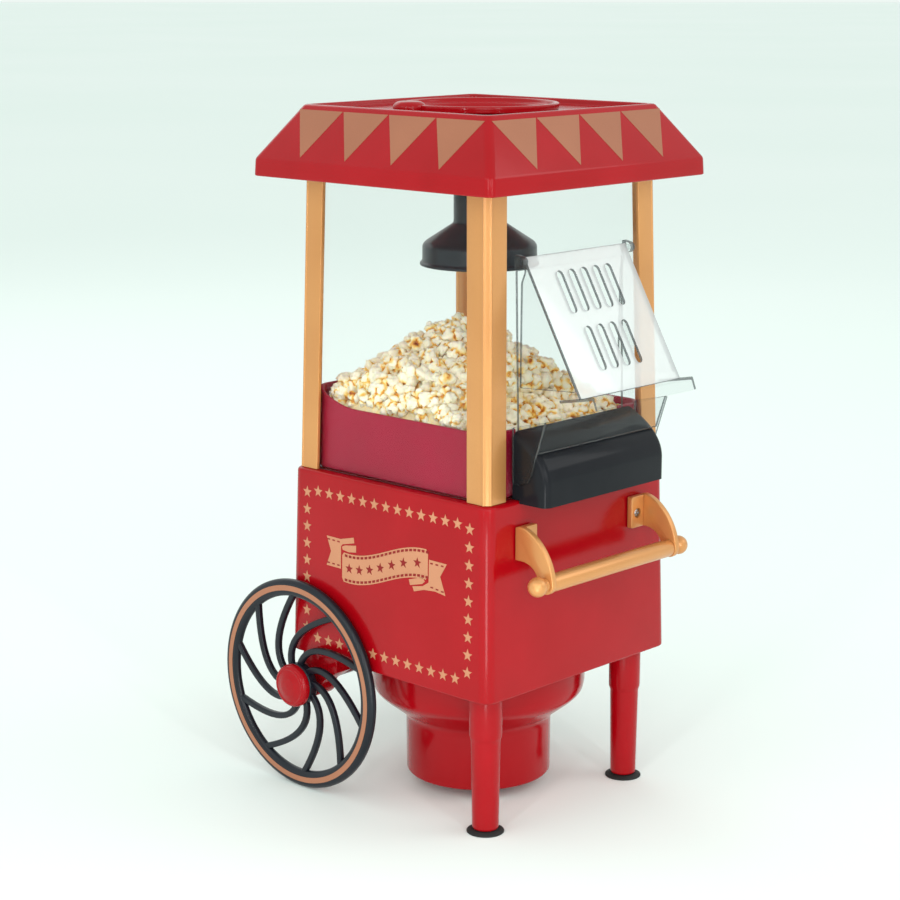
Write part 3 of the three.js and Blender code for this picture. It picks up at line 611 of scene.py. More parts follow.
def film(name, parts, place, material):
    """Thin printed shapes: place takes each point to its spot, then the sheet gets its thickness."""
    verts, faces = joined(*parts)
    obj = build(name, ([place(*point) for point in verts], faces), material)
    thick = obj.modifiers.new("film", "SOLIDIFY")
    thick.thickness = 0.1 * MM
    thick.offset = 0
    modified(obj, 30)


def side_print(name, side):
    """The gilt print on one side wall: a border of stars round a ribbon banner."""
    high, low, half, radius = 202.3, 104.0, 72, 4.1
    stars = [flat_star((i - 6) * 10.3, height, radius) for height in (high, low) for i in range(13)]
    stars += [flat_star(edge, 200.5 - 11.35 * i, radius) for i in range(9) for edge in (-half, half)]
    film(f"side_print_{name}", stars + ribbon_parts(), lambda p, v: side_place(side, side * p, v), PRINT)
    film(f"side_marks_{name}", ribbon_marks(),
         lambda p, v: side_place(side, side * p, v, PRINT_LIFT + 0.12), PRINT_RED)


def legs_and_feet():
    low, top = span("front_left_leg", 2)
    foot_top = span("front_left_foot", 2)[1]
    leg = soft_profile([(0.01, low), (8.0, low), (8.5, low + 1), (9.4, 60.5), (9.6, 61.5), (10.3, 63.5),
                        (10.4, 65), (10.5, top), (0.01, top)], 0.6, 3)
    foot = soft_profile([(0.01, 0), (12, 0), (12, 1.0), (9.6, foot_top), (0.01, foot_top)], 0.5, 3)
    for side, sign in SIDES:
        place = upright(sign * LEG_X, LEG_Y)
        build(f"leg_{side}", lathe(leg, 48), RED, f"front_{side}_leg", place=place)
        build(f"foot_{side}", lathe(foot, 48), RUBBER, f"front_{side}_foot", place=place)


def fan_drum():
    """The wide dish and narrower drum that hold the fan, with air slots in the floor."""
    low, top = span("fan_housing", 2)
    outer = [(0.01, low), (48, low), (48.3, 44), (48.9, 47), (51, 50), (66, 61.6), (69.6, 65.4),
             (70.8, 71), (71, top)]
    inner = [(68.8, top), (68.6, 72), (67.6, 67.4), (64.5, 63.4), (49.4, 51.8), (46.7, 48.4),
             (46.1, 45), (45.9, low + 2.5), (0.01, low + 2.5)]
    obj = build("fan_drum", lathe(soft_profile(outer + inner, 2.2, 4), 96), RED, "fan_housing",
                place=upright(0, Y0))
    outline = arc(36, 0, 2, -90, 90, 8) + arc(18, 0, 2, 90, 270, 8)
    verts, faces = prism(outline, low - 1, low + 4, "z")
    slots = []
    for i in range(10):
        turn = upright(0, Y0) @ Matrix.Rotation(i * math.pi / 5, 4, "Z")
        slots.append((moved(verts, turn), faces))
    carved(obj, joined(*slots))


def underside():
    keep("bottom_plate", RED)
    for i in range(1, 5):
        keep(f"bottom_screw_{i}", STEEL)


# ---- bowl and popcorn
BOWL_LOW, BOWL_BACK = span("serving_bowl", 2)
BOWL_RIM = 258.0


def rim_height(y):
    """The bowl's rim is level from the front and sweeps up to the back in its last third."""
    share = min(max((y - Y0 - 38) / 35, 0), 1)
    return BOWL_RIM + (BOWL_BACK - BOWL_RIM) * share * share


def bowl():
    """The open tub, with a rolled rim, a gap for the chute and a hole in its floor."""
    wall, corner = 1.9, 12
    outer_low, outer_top = 77.2, 76.2

    def ring(half, corner, share):
        return [(x, y, BOWL_LOW + (rim_height(y) - BOWL_LOW) * share)
                for x, y, _ in square_ring(half, corner, 0)]

    def dense(points):
        """Adds points along the straight sides, so that the rim can curve."""
        out = []
        for i, point in enumerate(points):
            after = points[(i + 1) % len(points)]
            out.append(point)
            if (Vector(point) - Vector(after)).length > 40:
                share = 0
                if point[2] > BOWL_LOW:
                    share = (point[2] - BOWL_LOW) / (rim_height(point[1]) - BOWL_LOW)
                for k in range(1, 24):
                    t = k / 24
                    x, y = (point[0] * (1 - t) + after[0] * t, point[1] * (1 - t) + after[1] * t)
                    out.append((x, y, BOWL_LOW + (rim_height(y) - BOWL_LOW) * share))
        return out

    rings = [dense(ring(outer_low - 1.5, corner - 1, 0.0))]
    for share in (0.02, 0.2, 0.4, 0.6, 0.8, 0.93, 0.975):
        rings.append(dense(ring(outer_low + (outer_top - outer_low) * share, corner, share)))
    for step in range(6):
        angle = math.pi * step / 5
        half = outer_top - wall / 2 + wall / 2 * math.cos(angle)
        roll = dense(ring(half, corner - wall / 2, 1.0))
        rings.append([(x, y, z + 0.9 * math.sin(angle) - 0.9) for x, y, z in roll])
    for share in (0.9, 0.6, 0.3, 0.08):
        rings.append(dense(ring(outer_low - wall + (outer_top - outer_low) * share, corner - 2, share)))
    obj = build("bowl_tub", bridged(rings, capped=True), CRIMSON, "serving_bowl")
    gap_half, hole = 50, 40
    carved(obj, prism(oblong(-gap_half, gap_half, BOWL_LOW + 10, 290), Y0 - 90, Y0 - 60, "y"))
    carved(obj, plug(hole, BOWL_LOW - 2, BOWL_LOW + 8, 64), upright(0, Y0))


def kernel(seed, fineness):
    """One popped kernel: puffed lobes round a core. Each point also gets its depth in the folds, 0 to 1,
    which darkens the folds as painted shade, and a lower value near the hull.
    """
    maker = random.Random(seed)
    lobes = [(Vector((0, 0, 0)), 3.3)]
    count = maker.randint(5, 6)
    for i in range(count):
        height = 1 - 2 * (i + 0.5) / count
        turn = i * 2.4 + maker.uniform(-0.6, 0.6)
        flat = math.sqrt(1 - height * height)
        way = Vector((flat * math.cos(turn), flat * math.sin(turn), height * 0.8))
        lobes.append((way * maker.uniform(2.9, 4.6), maker.uniform(2.5, 3.7)))
    hull_centre, hull_radius = lobes[maker.randint(1, count)]
    hull = hull_centre + hull_centre.normalized() * hull_radius * 0.8
    offset = Vector((seed * 3.1, seed * 1.7, 0))
    verts = []
    faces = []
    puff_and_fold_shade = []
    for index, (centre, radius) in enumerate(lobes):
        made = bmesh.new()
        bmesh.ops.create_icosphere(made, subdivisions=fineness, radius=radius)
        shift = len(verts)
        for vert in made.verts:
            way = vert.co.normalized()
            crumple = noise.noise(vert.co * 0.42 + centre * 0.6 + offset) * 2.2
            crumple += noise.noise(vert.co * 1.1 + centre + offset) * 0.7
            point = centre + vert.co + way * crumple
            others = [(point - other).length - size for j, (other, size) in enumerate(lobes) if j != index]
            # Painted shade: points close to another lobe, in the creases, get a darker, yellower colour.
            fold_shade = min(max(min(others) / 2.1, 0), 1)
            near_hull = min(max((point - hull).length / 3.0 - 0.25, 0), 1)
            verts.append(tuple(point))
            puff_and_fold_shade.append((0.2 + 0.8 * fold_shade) * near_hull)
        faces += [tuple(v.index + shift for v in face.verts) for face in made.faces]
        made.free()
    return verts, faces, puff_and_fold_shade


HEAP_PEAK = (-8.0, 10.0)


def heap_height(x, y):
    """Height of the popcorn's surface over the bowl; it peaks a little left of and behind the middle."""
    u, v = x, y - Y0
    reach = max(abs(u - HEAP_PEAK[0]), abs(v - HEAP_PEAK[1]))
    distance = 0.3 * reach + 0.7 * math.hypot(u - HEAP_PEAK[0], v - HEAP_PEAK[1])
    height = 309 - 41 * (distance / 66) ** 1.08
    height = min(height, 261 + (70 - max(abs(u), v)) * 1.3 + (5 if v > 20 else 0))
    if v < -40:
        height = min(height, 261 - (-40 - v) * 0.45)
    return max(height, 246)


def popcorn_bed(half, drop):
    """A closed block of corn just under the loose pieces, so that no gap shows the bowl's floor."""
    step, low = 6.0, 240
    count = int(2 * half / step)
    verts = []
    faces = []
    for i in range(count + 1):
        for j in range(count + 1):
            x = -half + 2 * half * i / count
            y = Y0 - half + 2 * half * j / count
            verts.append((x, y, heap_height(x, y) - drop + 1.6 * noise.noise(Vector((x, y, 0)) * 0.2)))
    row = count + 1
    rim = [i * row for i in range(count)]
    rim += [count * row + j for j in range(count)]
    rim += [(count - i) * row + count for i in range(count)]
    rim += [count - j for j in range(count)]
    for i in range(count):
        for j in range(count):
            a = i * row + j
            faces.append((a, a + row, a + row + 1, a + 1))
    base = len(verts)
    verts += [(verts[k][0], verts[k][1], low) for k in rim]
    around = len(rim)
    faces += [(rim[k], rim[(k + 1) % around], base + (k + 1) % around, base + k) for k in range(around)]
    faces.append(tuple(range(base, base + around)))
    return verts, faces


def popcorn_pile():
    """Two layers of loose pieces over the bed, kept clear of the bowl's wall."""
    half, reach = 72, 66.8
    pitch, jitter = 10.5, 2.4
    bed = popcorn_bed(half, 8.5)
    parts = [bed]
    puff_and_fold_shade = [0.55] * len(bed[0])
    spot = random.Random(21)
    rows = int(2 * half / pitch) + 1
    for layer, sink, fineness in ((0, 0.0, 3), (1, 5.5, 2)):
        kinds = [kernel(seed, fineness) for seed in range(10)]
        for i in range(rows):
            for j in range(rows):
                x = -half + i * pitch + spot.uniform(-jitter, jitter) + layer * pitch / 2
                y = Y0 - half + j * pitch + spot.uniform(-jitter, jitter) + layer * pitch / 2
                if abs(x) > half or abs(y - Y0) > half:
                    continue
                x = min(max(x, -reach), reach)
                y = min(max(y, Y0 - reach), Y0 + reach)
                z = heap_height(x, y) - sink + spot.uniform(-2.6, 1.8)
                verts, faces, kernel_puff_and_shade = kinds[spot.randrange(len(kinds))]
                size = spot.uniform(1.08, 1.45)
                if max(abs(x), abs(y - Y0)) > reach - 3:
                    size = min(size, 1.0)
                place = Matrix.Translation((x, y, z))
                for axis in "ZXY":
                    place = place @ Matrix.Rotation(spot.uniform(0, 6.28), 4, axis)
                parts.append((moved(verts, place @ Matrix.Scale(size, 4)), faces))
                puff_and_fold_shade += kernel_puff_and_shade
    obj = build("popcorn_pile", joined(*parts), CORN, "popcorn_heap", angle=80)
    # The puff values include the painted shade in the creases.
    attribute = obj.data.attributes.new("puff", "FLOAT", "POINT")
    attribute.data.foreach_set("value", puff_and_fold_shade)


# ---- cabin
def lean_in(x, y, z):
    """A point of the cabin's wall, drawn in by the lean at its height."""
    inset = LEAN * (z - BASE_TOP)
    sx = -1 if x < 0 else 1
    sy = -1 if y < Y0 else 1
    return (x - sx * inset, y - sy * inset, z)


def posts():
    """Angle-section posts, each with two fine rounded ridges along its outer corner."""
    corner, width, thick = POST_CORNER, 17.6, 3.0
    inner = corner - thick
    ridge = 0.95
    step = corner - 0.45
    outline = [(inner, inner), (corner - width, inner), (corner - width, step), (corner - 5.2, step)]
    outline += arc(corner - 4.0, corner - ridge, ridge, 150, 20, 6)
    outline += [(corner - 2.7, corner - 1.3), (corner - 1.3, corner - 2.7)]
    outline += arc(corner - ridge, corner - 4.0, ridge, 70, -60, 6)
    outline += [(step, corner - 5.2), (step, corner - width), (inner, corner - width)]
    section = soft_profile(outline, 0.5, 3, closed=True)
    levels = [CABIN_LOW, CABIN_LOW + 60, CABIN_LOW + 125, CABIN_TOP]
    for name, sx, sy in (("rear_right", 1, 1), ("rear_left", -1, 1),
                         ("front_left", -1, -1), ("front_right", 1, -1)):
        rings = [[lean_in(sx * u, Y0 + sy * v, z) for u, v in section] for z in levels]
        build(f"post_{name}", bridged(rings, capped=True), GILT, f"{name}_post")


def flat_pane(name, foot, depth, node):
    """A leaning pane over the two points (x, y) of its foot, thickened inwards by depth."""
    corners = [lean_in(x, Y0 + y, CABIN_LOW) for x, y in foot]
    corners += [lean_in(x, Y0 + y, CABIN_TOP) for x, y in reversed(foot)]
    verts = corners + [tuple(Vector(c) + Vector(depth)) for c in corners]
    faces = [(0, 1, 2, 3), (7, 6, 5, 4), (0, 4, 5, 1), (1, 5, 6, 2), (2, 6, 7, 3), (3, 7, 4, 0)]
    edge_shaded(bevelled(build(name, (verts, faces), CLEAR, node), 0.4, 2), depth)


def windows():
    outer, thick = PANE_HALF, PANE_THICK
    end = outer - thick - 0.5
    for name, side in SIDES:
        foot = [(side * outer, -end), (side * outer, end)]
        flat_pane(f"pane_{name}", foot, (-side * thick, 0, 0), f"{name}_window")
    flat_pane("pane_rear", [(-outer, outer), (outer, outer)], (0, -thick, 0), "rear_window")


def front_pane():
    """The front pane: two side strips and a header round the doorway, with the flap's lugs."""
    outer = PANE_HALF
    half, door_low, door_top = 50.0, 222.0, 355.0

    def at(x, z):
        inset = LEAN * (z - BASE_TOP)
        if abs(x) > half:
            x -= math.copysign(inset, x)
        return (x, Y0 - outer + inset, z)

    columns = [-outer, -half, half, outer]
    rows = [CABIN_LOW, door_low, door_top, CABIN_TOP]
    verts = [at(x, z) for z in rows for x in columns]
    cells = [j * 4 + i for j in range(3) for i in range(3) if (i, j) != (1, 1)]
    faces = [(a, a + 1, a + 5, a + 4) for a in cells]
    obj = build("pane_front", (verts, faces), CLEAR, "front_window")
    thicken = obj.modifiers.new("thick", "SOLIDIFY")
    thicken.thickness = PANE_THICK * MM
    thicken.offset = -1
    edge_shaded(bevelled(obj, 0.4, 2), (0, 1, 0))
    face = Y0 - outer + LEAN * (HINGE_Z - BASE_TOP)
    outline = arc(HINGE_Y, HINGE_Z, 3.4, 90, 270, 12) + [(face, HINGE_Z - 4.2), (face, HINGE_Z + 4.2)]
    for name, side in SIDES:
        start, end = sorted((side * 48.7, side * 53.3))
        lug = build(f"flap_lug_{name}", prism(outline, start, end), CLEAR_SIDE)
        edge_shaded(bevelled(lug, 0.5, 2), (1, 0, 0))


# ---- tilting flap
def slot_outline(x, high, low):
    radius = 2.8
    return arc(x, high - radius, radius, 0, 180, 8) + arc(x, low + radius, radius, 180, 360, 8)


def flap_pane(half, place):
    """The flap's flat sheet with its nine slots, filled as a 2-D curve with softly rounded edges."""
    foot, head, thick, rim, pitch = -90.5, 2.6, 2.0, 0.35, 11.5
    curve = bpy.data.curves.new("flap_pane", "CURVE")
    curve.dimensions = "2D"
    curve.fill_mode = "BOTH"
    outlines = [oblong(-half, half, foot, head)]
    outlines += [slot_outline(i * pitch, -9, -37) for i in range(-2, 3)]
    outlines += [slot_outline((i - 1.5) * pitch, -46.5, -75.5) for i in range(4)]
    for outline in outlines:
        spline = curve.splines.new("POLY")
        spline.points.add(len(outline) - 1)
        for point, (u, v) in zip(spline.points, outline):
            point.co = (u * MM, v * MM, 0, 1)
        spline.use_cyclic_u = True
    curve.extrude = (thick / 2 - rim) * MM
    curve.bevel_depth = rim * MM
    curve.bevel_resolution = 2
    curve.offset = -rim * MM
    raw = linked("flap_curve", curve)
    mesh = bpy.data.meshes.new_from_object(raw.evaluated_get(bpy.context.evaluated_depsgraph_get()))
    bpy.data.objects.remove(raw)
    mesh.name = "flap_pane"
    mesh.transform(Matrix.Rotation(QUARTER, 4, "X"))
    mesh.transform(Matrix.Translation(place.translation * MM) @ place.to_3x3().to_4x4())
    mesh.materials.clear()
    mesh.materials.append(CLEAR_FLAP)
    obj = linked("flap_pane", mesh)
    shaded(obj, 30)
    edge_shaded(obj, place.to_3x3() @ Vector((0, 1, 0)))
    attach(obj, "flap_body")
    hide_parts("door_flap")


def flap():
    """The slotted pane, two cheeks, the grip and two pins, all hinged at the top."""
    half, thick = 48.0, 2
    place = Matrix.Translation((0, HINGE_Y, HINGE_Z)) @ Matrix.Rotation(-FLAP_ANGLE, 4, "X")
    flap_pane(half, place)
    cheek = [(1.05, 3.0), (2.4, 3.0), (3.2, 0), (3.2, -5), (9.5, -10), (41.9, -65.9), (3.2, -84.6),
             (1.05, -85)]
    for name, start in (("left", -half), ("right", half - thick)):
        part = prism(soft_profile(cheek, 1.4, 4, closed=True), start, start + thick)
        side = build(f"flap_cheek_{name}", part, CLEAR_SIDE, body="flap_body", place=place)
        edge_shaded(bevelled(side, 0.4, 2), (1, 0, 0))
    grip = [(15.6, -84.6), (-10.6, -93.2), (-9.4, -101.4), (-7.7, -101.2), (-8.6, -94.8), (16.2, -86.4)]
    part = prism(soft_profile(grip, 0.7, 4, closed=True), -half, half)
    lip = bevelled(build("flap_grip", part, CLEAR_SIDE, body="flap_body", place=place), 0.3, 2)
    # Painted shade: the grip's end faces get the dark edge material.
    lip.data.materials.append(CLEAR_EDGE_SHADE)
    for face in lip.data.polygons:
        face.material_index = 1 if abs(face.normal.x) > 0.6 else 0
    pin = soft_profile([(0.01, 46.4), (1.8, 46.4), (1.8, 53.6), (2.6, 53.7), (2.4, 54.4), (0.01, 54.6)],
                       0.3, 3)
    for name, sign in SIDES:
        build(f"hinge_pin_{name}", lathe(pin, 24), CLEAR_SIDE, f"{name}_hinge_pin", body="flap_body",
              place=crosswise(HINGE_Y, HINGE_Z, sign))


# ---- chute hood and guard
def chute_hood():
    """A shell with rounded shoulders: the section carried across, closed by cheeks, then thickened."""
    half, low, shelf = 58.0, 213.9, BASE_TOP + 0.4
    back, step_back, front = Y0 - 81, Y0 - 86.8, Y0 - 108.4
    line = bezier((back, 258), (Y0 - 107.5, 246), (front, 229))
    line += [(front, 221), (front, low)]
    count = len(line)
    verts = [(x, y, z) for x in (-half, half) for y, z in line]
    faces = [(i, i + 1, count + i + 1, count + i) for i in range(count - 1)]
    for side, shift in ((-half, 0), (half, count)):
        start = len(verts)
        verts += [(side, step_back, low), (side, step_back, shelf), (side, back, shelf)]
        faces.append(tuple([shift + i for i in range(count)] + [start, start + 1, start + 2]))
    obj = build("hood_shell", (verts, faces), BLACK, "chute_hood")
    rounding = obj.modifiers.new("round", "BEVEL")
    rounding.width = 5 * MM
    rounding.segments = 6
    rounding.limit_method = "ANGLE"
    rounding.angle_limit = math.radians(60)
    thicken = obj.modifiers.new("thick", "SOLIDIFY")
    thicken.thickness = 2.2 * MM
    thicken.offset = -1
    thicken.use_even_offset = True
    modified(obj)


def chute_guard():
    """The clear tray front and its two cheeks, standing over the hood."""
    half, thick = 59.8, 1.7
    rear = Y0 - 82
    tip = (Y0 - 108.2, 267.5)
    cheek = [(rear, 226), (rear, 261), tip, (Y0 - 99.2, 240), (Y0 - 97.4, 233), (Y0 - 93.5, 227.4),
             (Y0 - 88.5, 225.4)]
    outline = soft_profile(cheek, 1.6, 3, closed=True)
    parts = [prism(outline, start, start + thick) for start in (-half, half - thick)]
    edge_shaded(bevelled(build("guard_cheeks", joined(*parts), CLEAR_SIDE), 0.35, 2), (1, 0, 0))
    front = [tip, (Y0 - 106.5, 267.1), (Y0 - 99.5, 246.8), (Y0 - 101.2, 246.4)]
    panel = build("guard_front", prism(front, -half + 1.75, half - 1.75), CLEAR_SIDE, "chute_guard")
    edge_shaded(bevelled(panel, 0.35, 2), (0, 1, 0.33))


# ---- handle
def handle():
    """The push bar, a ball on each end, and the two brackets that hold it."""
    radius, neck = 5.6, 3.0
    shoulder, tip = 58.2, 66.5
    profile = soft_profile([(0.01, -tip), (neck, -tip), (neck, -shoulder), (radius, -shoulder),
                            (radius, shoulder), (neck, shoulder), (neck, tip), (0.01, tip)], 0.5, 3)
    build("push_bar", lathe(profile, 40), GILT, "handle_bar", place=crosswise(BAR_Y, BAR_Z))
    face = 62.8
    ball = [(0.01, face + 4.5), (3.3, face + 4.5), (3.3, face), (4.4, face)]
    ball += [(6.15 * math.cos(math.radians(a)), face + 6.4 + 6.0 * math.sin(math.radians(a)))
             for a in range(-50, 90, 14)]
    ball.append((0.01, face + 12.4))
    for name, sign in SIDES:
        build(f"ball_{name}", lathe(ball, 40), GILT, f"{name}_bar_knob", place=crosswise(BAR_Y, BAR_Z, sign))
        bracket_arm(name, sign)
        bracket_pad(name, sign)


PAD_BACK = Y0 - 87.4
PAD_FRONT = Y0 - 91.4


def bracket_arm(name, sign):
    """The curved plate that runs from the base out to the bar and round it."""
    arm = [(PAD_BACK, 179.3), (PAD_BACK, 200)]
    arm += bezier((Y0 - 91.5, 201), (Y0 - 104, 199.4), (Y0 - 117.4, 184.5), (Y0 - 118, 168.2))
    arm += arc(Y0 - 111.8, 168.2, 6.2, 186, 354, 14)
    arm += bezier((Y0 - 105.2, 171.5), (Y0 - 103.4, 176.5), (Y0 - 98, 179.6), (Y0 - 92, 179.3), steps=8)
    start, end = sorted((sign * 58.5, sign * 62.5))
    plate = build(f"bracket_arm_{name}", prism(arm, start, end), GILT, f"{name}_handle_bracket")
    carved(bevelled(plate, 0.7, 3), plug(3.3, -90, 90, 32), crosswise(BAR_Y, BAR_Z))


def bracket_pad(name, sign):
    """The block between the plate and the base, with its sunken cross-head screw."""
    sunk = 2.2
    start, end = sorted((sign * 46.3, sign * 58.6))
    outline = soft_profile(oblong(start, end, 179.5, 200.2), 1.2, 4, closed=True)
    pad = build(f"bracket_pad_{name}", prism(outline, PAD_FRONT, PAD_BACK, "y"), GILT)
    bevelled(pad, 0.5, 3)
    screw_x = middle(f"{name}_bracket_screw", 0)
    place = Matrix.Translation((screw_x, PAD_FRONT + sunk, 189)) @ Matrix.Rotation(QUARTER, 4, "X")
    carved(pad, plug(3.3, 0, 8, 32), place)
    carved(pad, plug(1.9, -9, 4, 24), place)
    head = [(0.01, 1.95), (1.8, 1.85), (2.5, 1.3), (2.8, 0.4), (1.6, 0.2), (1.6, -8), (0.01, -8)]
    screw = build(f"pad_screw_{name}", lathe(soft_profile(head, 0.3, 3), 32), STEEL, f"{name}_bracket_screw",
                  place=place)
    reach, half = 1.9, 0.4
    plus = [(half, half), (reach, half), (reach, -half), (half, -half), (half, -reach), (-half, -reach),
            (-half, -half), (-reach, -half), (-reach, half), (-half, half), (-half, reach), (half, reach)]
    carved(screw, prism(plus, 0.9, 3.0, "z"), place)


# ---- roof
def roof():
    """Canopy: skirt, soft crease, slope, raised rim and sunken top with the cup's hole."""
    corner, wall, deck, hole = 5.0, 2.4, 2.4, 46.2
    floor = ROOF_TOP - 3.6
    profile = [(ROOF_HALF - wall, ROOF_LOW), (ROOF_HALF, ROOF_LOW), (ROOF_CREASE_HALF, ROOF_CREASE),
               (ROOF_TOP_HALF, ROOF_TOP), (ROOF_TOP_HALF - 3.6, ROOF_TOP), (ROOF_TOP_HALF - 4.2, floor),
               (50, floor)]
    outline = [profile[0]] + soft_profile(profile, 1.3, 4)[1:]
    rings = [square_ring(half, corner, z, 10) for half, z in outline]
    rings += [round_ring(hole, floor, 10), round_ring(hole, floor - deck, 10)]
    rings += [square_ring(half, corner - 2, z, 10)
              for half, z in ((70, floor - deck), (ROOF_TOP_HALF - 1.2, floor - deck),
                              (ROOF_CREASE_HALF - 3.4, ROOF_CREASE), (ROOF_HALF - wall, ROOF_CREASE - 3))]
    build("canopy", bridged(rings, closed=True), RED, "roof_canopy", angle=50)


def pennants():
    """Four gilt triangles on each slope of the roof."""
    pitch, high, low = 39.7, 446.4, 418.2
    verts = []
    slope = (ROOF_CREASE_HALF - ROOF_TOP_HALF) / (ROOF_TOP - ROOF_CREASE)
    for quarter in range(4):
        turn = upright(0, Y0) @ Matrix.Rotation(quarter * QUARTER, 4, "Z")
        for i in range(-2, 2):
            for u, z in ((pitch * i + 0.4, high), (pitch * (i + 1) - 0.4, high), (pitch * (i + 0.5), low)):
                out = ROOF_TOP_HALF + (ROOF_TOP - z) * slope + PRINT_LIFT
                verts.append(tuple(turn @ Vector((out, u, z))))
    faces = [(i, i + 1, i + 2) for i in range(0, len(verts), 3)]
    film("pennants", [(verts, faces)], lambda *point: point, PENNANT)


def cup():
    """The lift-out cup's ring and bowl, with the round tab on its rim."""
    low, high = span("measuring_cup", 2)
    rest = high - 6.8
    radius, throat = 50.0, 45.4
    profile = [(0.01, low), (28, low), (40, rest - 6), (throat, rest - 2), (throat, rest), (radius, rest),
               (radius, rest + 4.0), (radius - 1, rest + 4.4), (radius - 3, rest + 4.3),
               (radius - 4.2, rest + 1.8), (throat - 2.4, rest + 1.2), (38.4, rest - 4.4),
               (27.4, low + 1.8), (0.01, low + 1.8)]
    build("cup_ring", lathe(soft_profile(profile, 0.9, 3), 96), RED, "measuring_cup", body="cup_body",
          place=upright(0, Y0))
    turn, out = math.radians(165), 52.0
    tab = [(0.01, rest + 0.1), (10.2, rest + 0.1), (10.2, rest + 4.2), (7.6, rest + 6.4), (0.01, rest + 6.8)]
    build("cup_tab", lathe(soft_profile(tab, 2.4, 5), 40), RED, body="cup_body",
          place=upright(out * math.cos(turn), Y0 + out * math.sin(turn)))


def bell():
    """Feed tube, cone and bell with a rolled rim."""
    rim, top = span("feed_bell", 2)
    outline = [(34.6, rim + 3.2), (36.6, rim), (38.5, rim + 0.2), (38.4, rim + 1.8), (36.9, rim + 3.0),
               (36.8, 360.0), (35.2, 362.2), (17.4, 373.9), (16.8, 375.2), (16.8, top), (14.8, top),
               (14.8, 374.4), (33.6, 360.6), (34.8, 358.6)]
    part = lathe(soft_profile(outline, 1.0, 3, closed=True), 80, closed=True)
    build("bell", part, SATIN_BLACK, "feed_bell", place=upright(0, Y0))


def funnel():
    """The cone that leads from the cup's hole down into the feed tube."""
    low, top = span("feed_funnel", 2)
    lip = span("feed_funnel", 0)[1]
    bore = 17.2
    outline = [(bore, low), (bore + 1.8, low), (bore + 1.8, low + 4.6), (48.6, top - 1.8), (lip, top - 1.8),
               (lip, top), (47, top), (bore, low + 5.4)]
    part = lathe(soft_profile(outline, 0.6, 3, closed=True), 96, closed=True)
    build("funnel", part, SATIN_BLACK, "feed_funnel", place=upright(0, Y0))


# ---- wheels
def wheels():
    """Each wheel is made lying about Z, outer face up, then laid on the axle."""
    inner, outer, radius = 90.5, 96.5, WHEEL_RADIUS - 0.05
    rim = soft_profile([(59.3, inner + 1.6), (62, inner), (radius - 1.4, inner), (radius, inner + 1.4),
                        (radius, outer - 1.8), (radius - 2.0, outer), (61.2, outer), (59.3, outer - 1.8)],
                       1.0, 3, closed=True)
    stripe = oblong(63.3, 66.9, outer + 0.06, outer + 0.16)
    hub = soft_profile([(3.4, 89.7), (13.4, 89.7), (14.2, 91), (14.2, 96.2), (13.4, 97), (3.4, 97)],
                       0.6, 3, closed=True)
    sweep = bezier((3.5, 8.5, 0), (20.0, 31.5, 0), (61.0, -0.5, 0))
    spoke = swept(sweep, soft_profile(oblong(-2.1, 2.1, -1.9, 1.9), 1.1, 3, closed=True))
    face = 97.3
    cap = soft_profile([(14.0, face), (14.4, face + 0.4), (14.4, face + 3.0), (13.0, face + 5.2),
                        (11.6, face + 5.7), (10.9, face + 5.3), (6.0, face + 6.9), (0.01, face + 7.6)],
                       1.3, 4)
    inside = [(0.01, face + 6.2), (8, face + 4.4), (12.4, face + 1.4), (12.4, face)]
    for name, sign in SIDES:
        on_wheel = {"body": f"{name}_wheel_body", "place": crosswise(AXLE_Y, AXLE_Z, sign)}
        part = joined(lathe(rim, 128, closed=True), lathe(hub, 48, closed=True))
        build(f"rim_{name}", part, SATIN_BLACK, f"{name}_wheel", **on_wheel)
        spokes = []
        for i in range(10):
            angle = sign * math.radians(32) + i * math.pi / 5
            turn = Matrix.Translation((0, 0, inner + 3.0)) @ Matrix.Rotation(angle, 4, "Z")
            spokes.append((moved(spoke[0], turn), spoke[1]))
        build(f"spokes_{name}", joined(*spokes), SATIN_BLACK, **on_wheel)
        build(f"stripe_{name}", lathe(stripe, 128, closed=True), COPPER, **on_wheel)
        build(f"hub_dome_{name}", lathe(inside + cap, 64), RED, f"{name}_hub_cap", **on_wheel)


def axle():
    """The axle rod, the lugs under the base that carry it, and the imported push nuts."""
    half = span("wheel_axle", 0)[1]
    place = crosswise(AXLE_Y, AXLE_Z)
    rod = soft_profile([(0.01, -half), (3, -half), (3, half), (0.01, half)], 0.6, 3)
    build("axle_rod", lathe(rod, 32), STEEL, "wheel_axle", place=place)
    bore = plug(3.4, -110, 110, 32)
    for name, _ in SIDES:
        low, high = span(f"{name}_axle_bracket", 0)
        top = span(f"{name}_axle_bracket", 2)[1]
        outline = [(AXLE_Y - 25, top), (AXLE_Y - 25, 81), (AXLE_Y - 13, 73)]
        outline += arc(AXLE_Y, AXLE_Z, 11, 180, 360, 20)
        outline.append((AXLE_Y + 6, top))
        lug = build(f"axle_lug_{name}", prism(outline, low, high), RED, f"{name}_axle_bracket")
        carved(bevelled(lug, 0.8, 3), bore, place)
        keep(f"{name}_push_nut", STEEL)


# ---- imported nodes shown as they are
def switch_and_insides():
    keep("switch_bezel", SATIN_BLACK)
    keep("switch_rocker", RED)
    keep("cord_gland", RUBBER)
    for node, material in (("motor", STEEL), ("motor_cradle", SATIN_BLACK), ("rectifier_board", BOARD),
                           ("motor_shaft", STEEL), ("fan_impeller", SATIN_BLACK), ("air_duct", STEEL),
                           ("heater_frame", MICA), ("heater_coil", STEEL), ("thermal_cutout", STEEL),
                           ("popping_chamber", ALUMINIUM), ("roof_ceiling", RED)):
        keep(node, material)


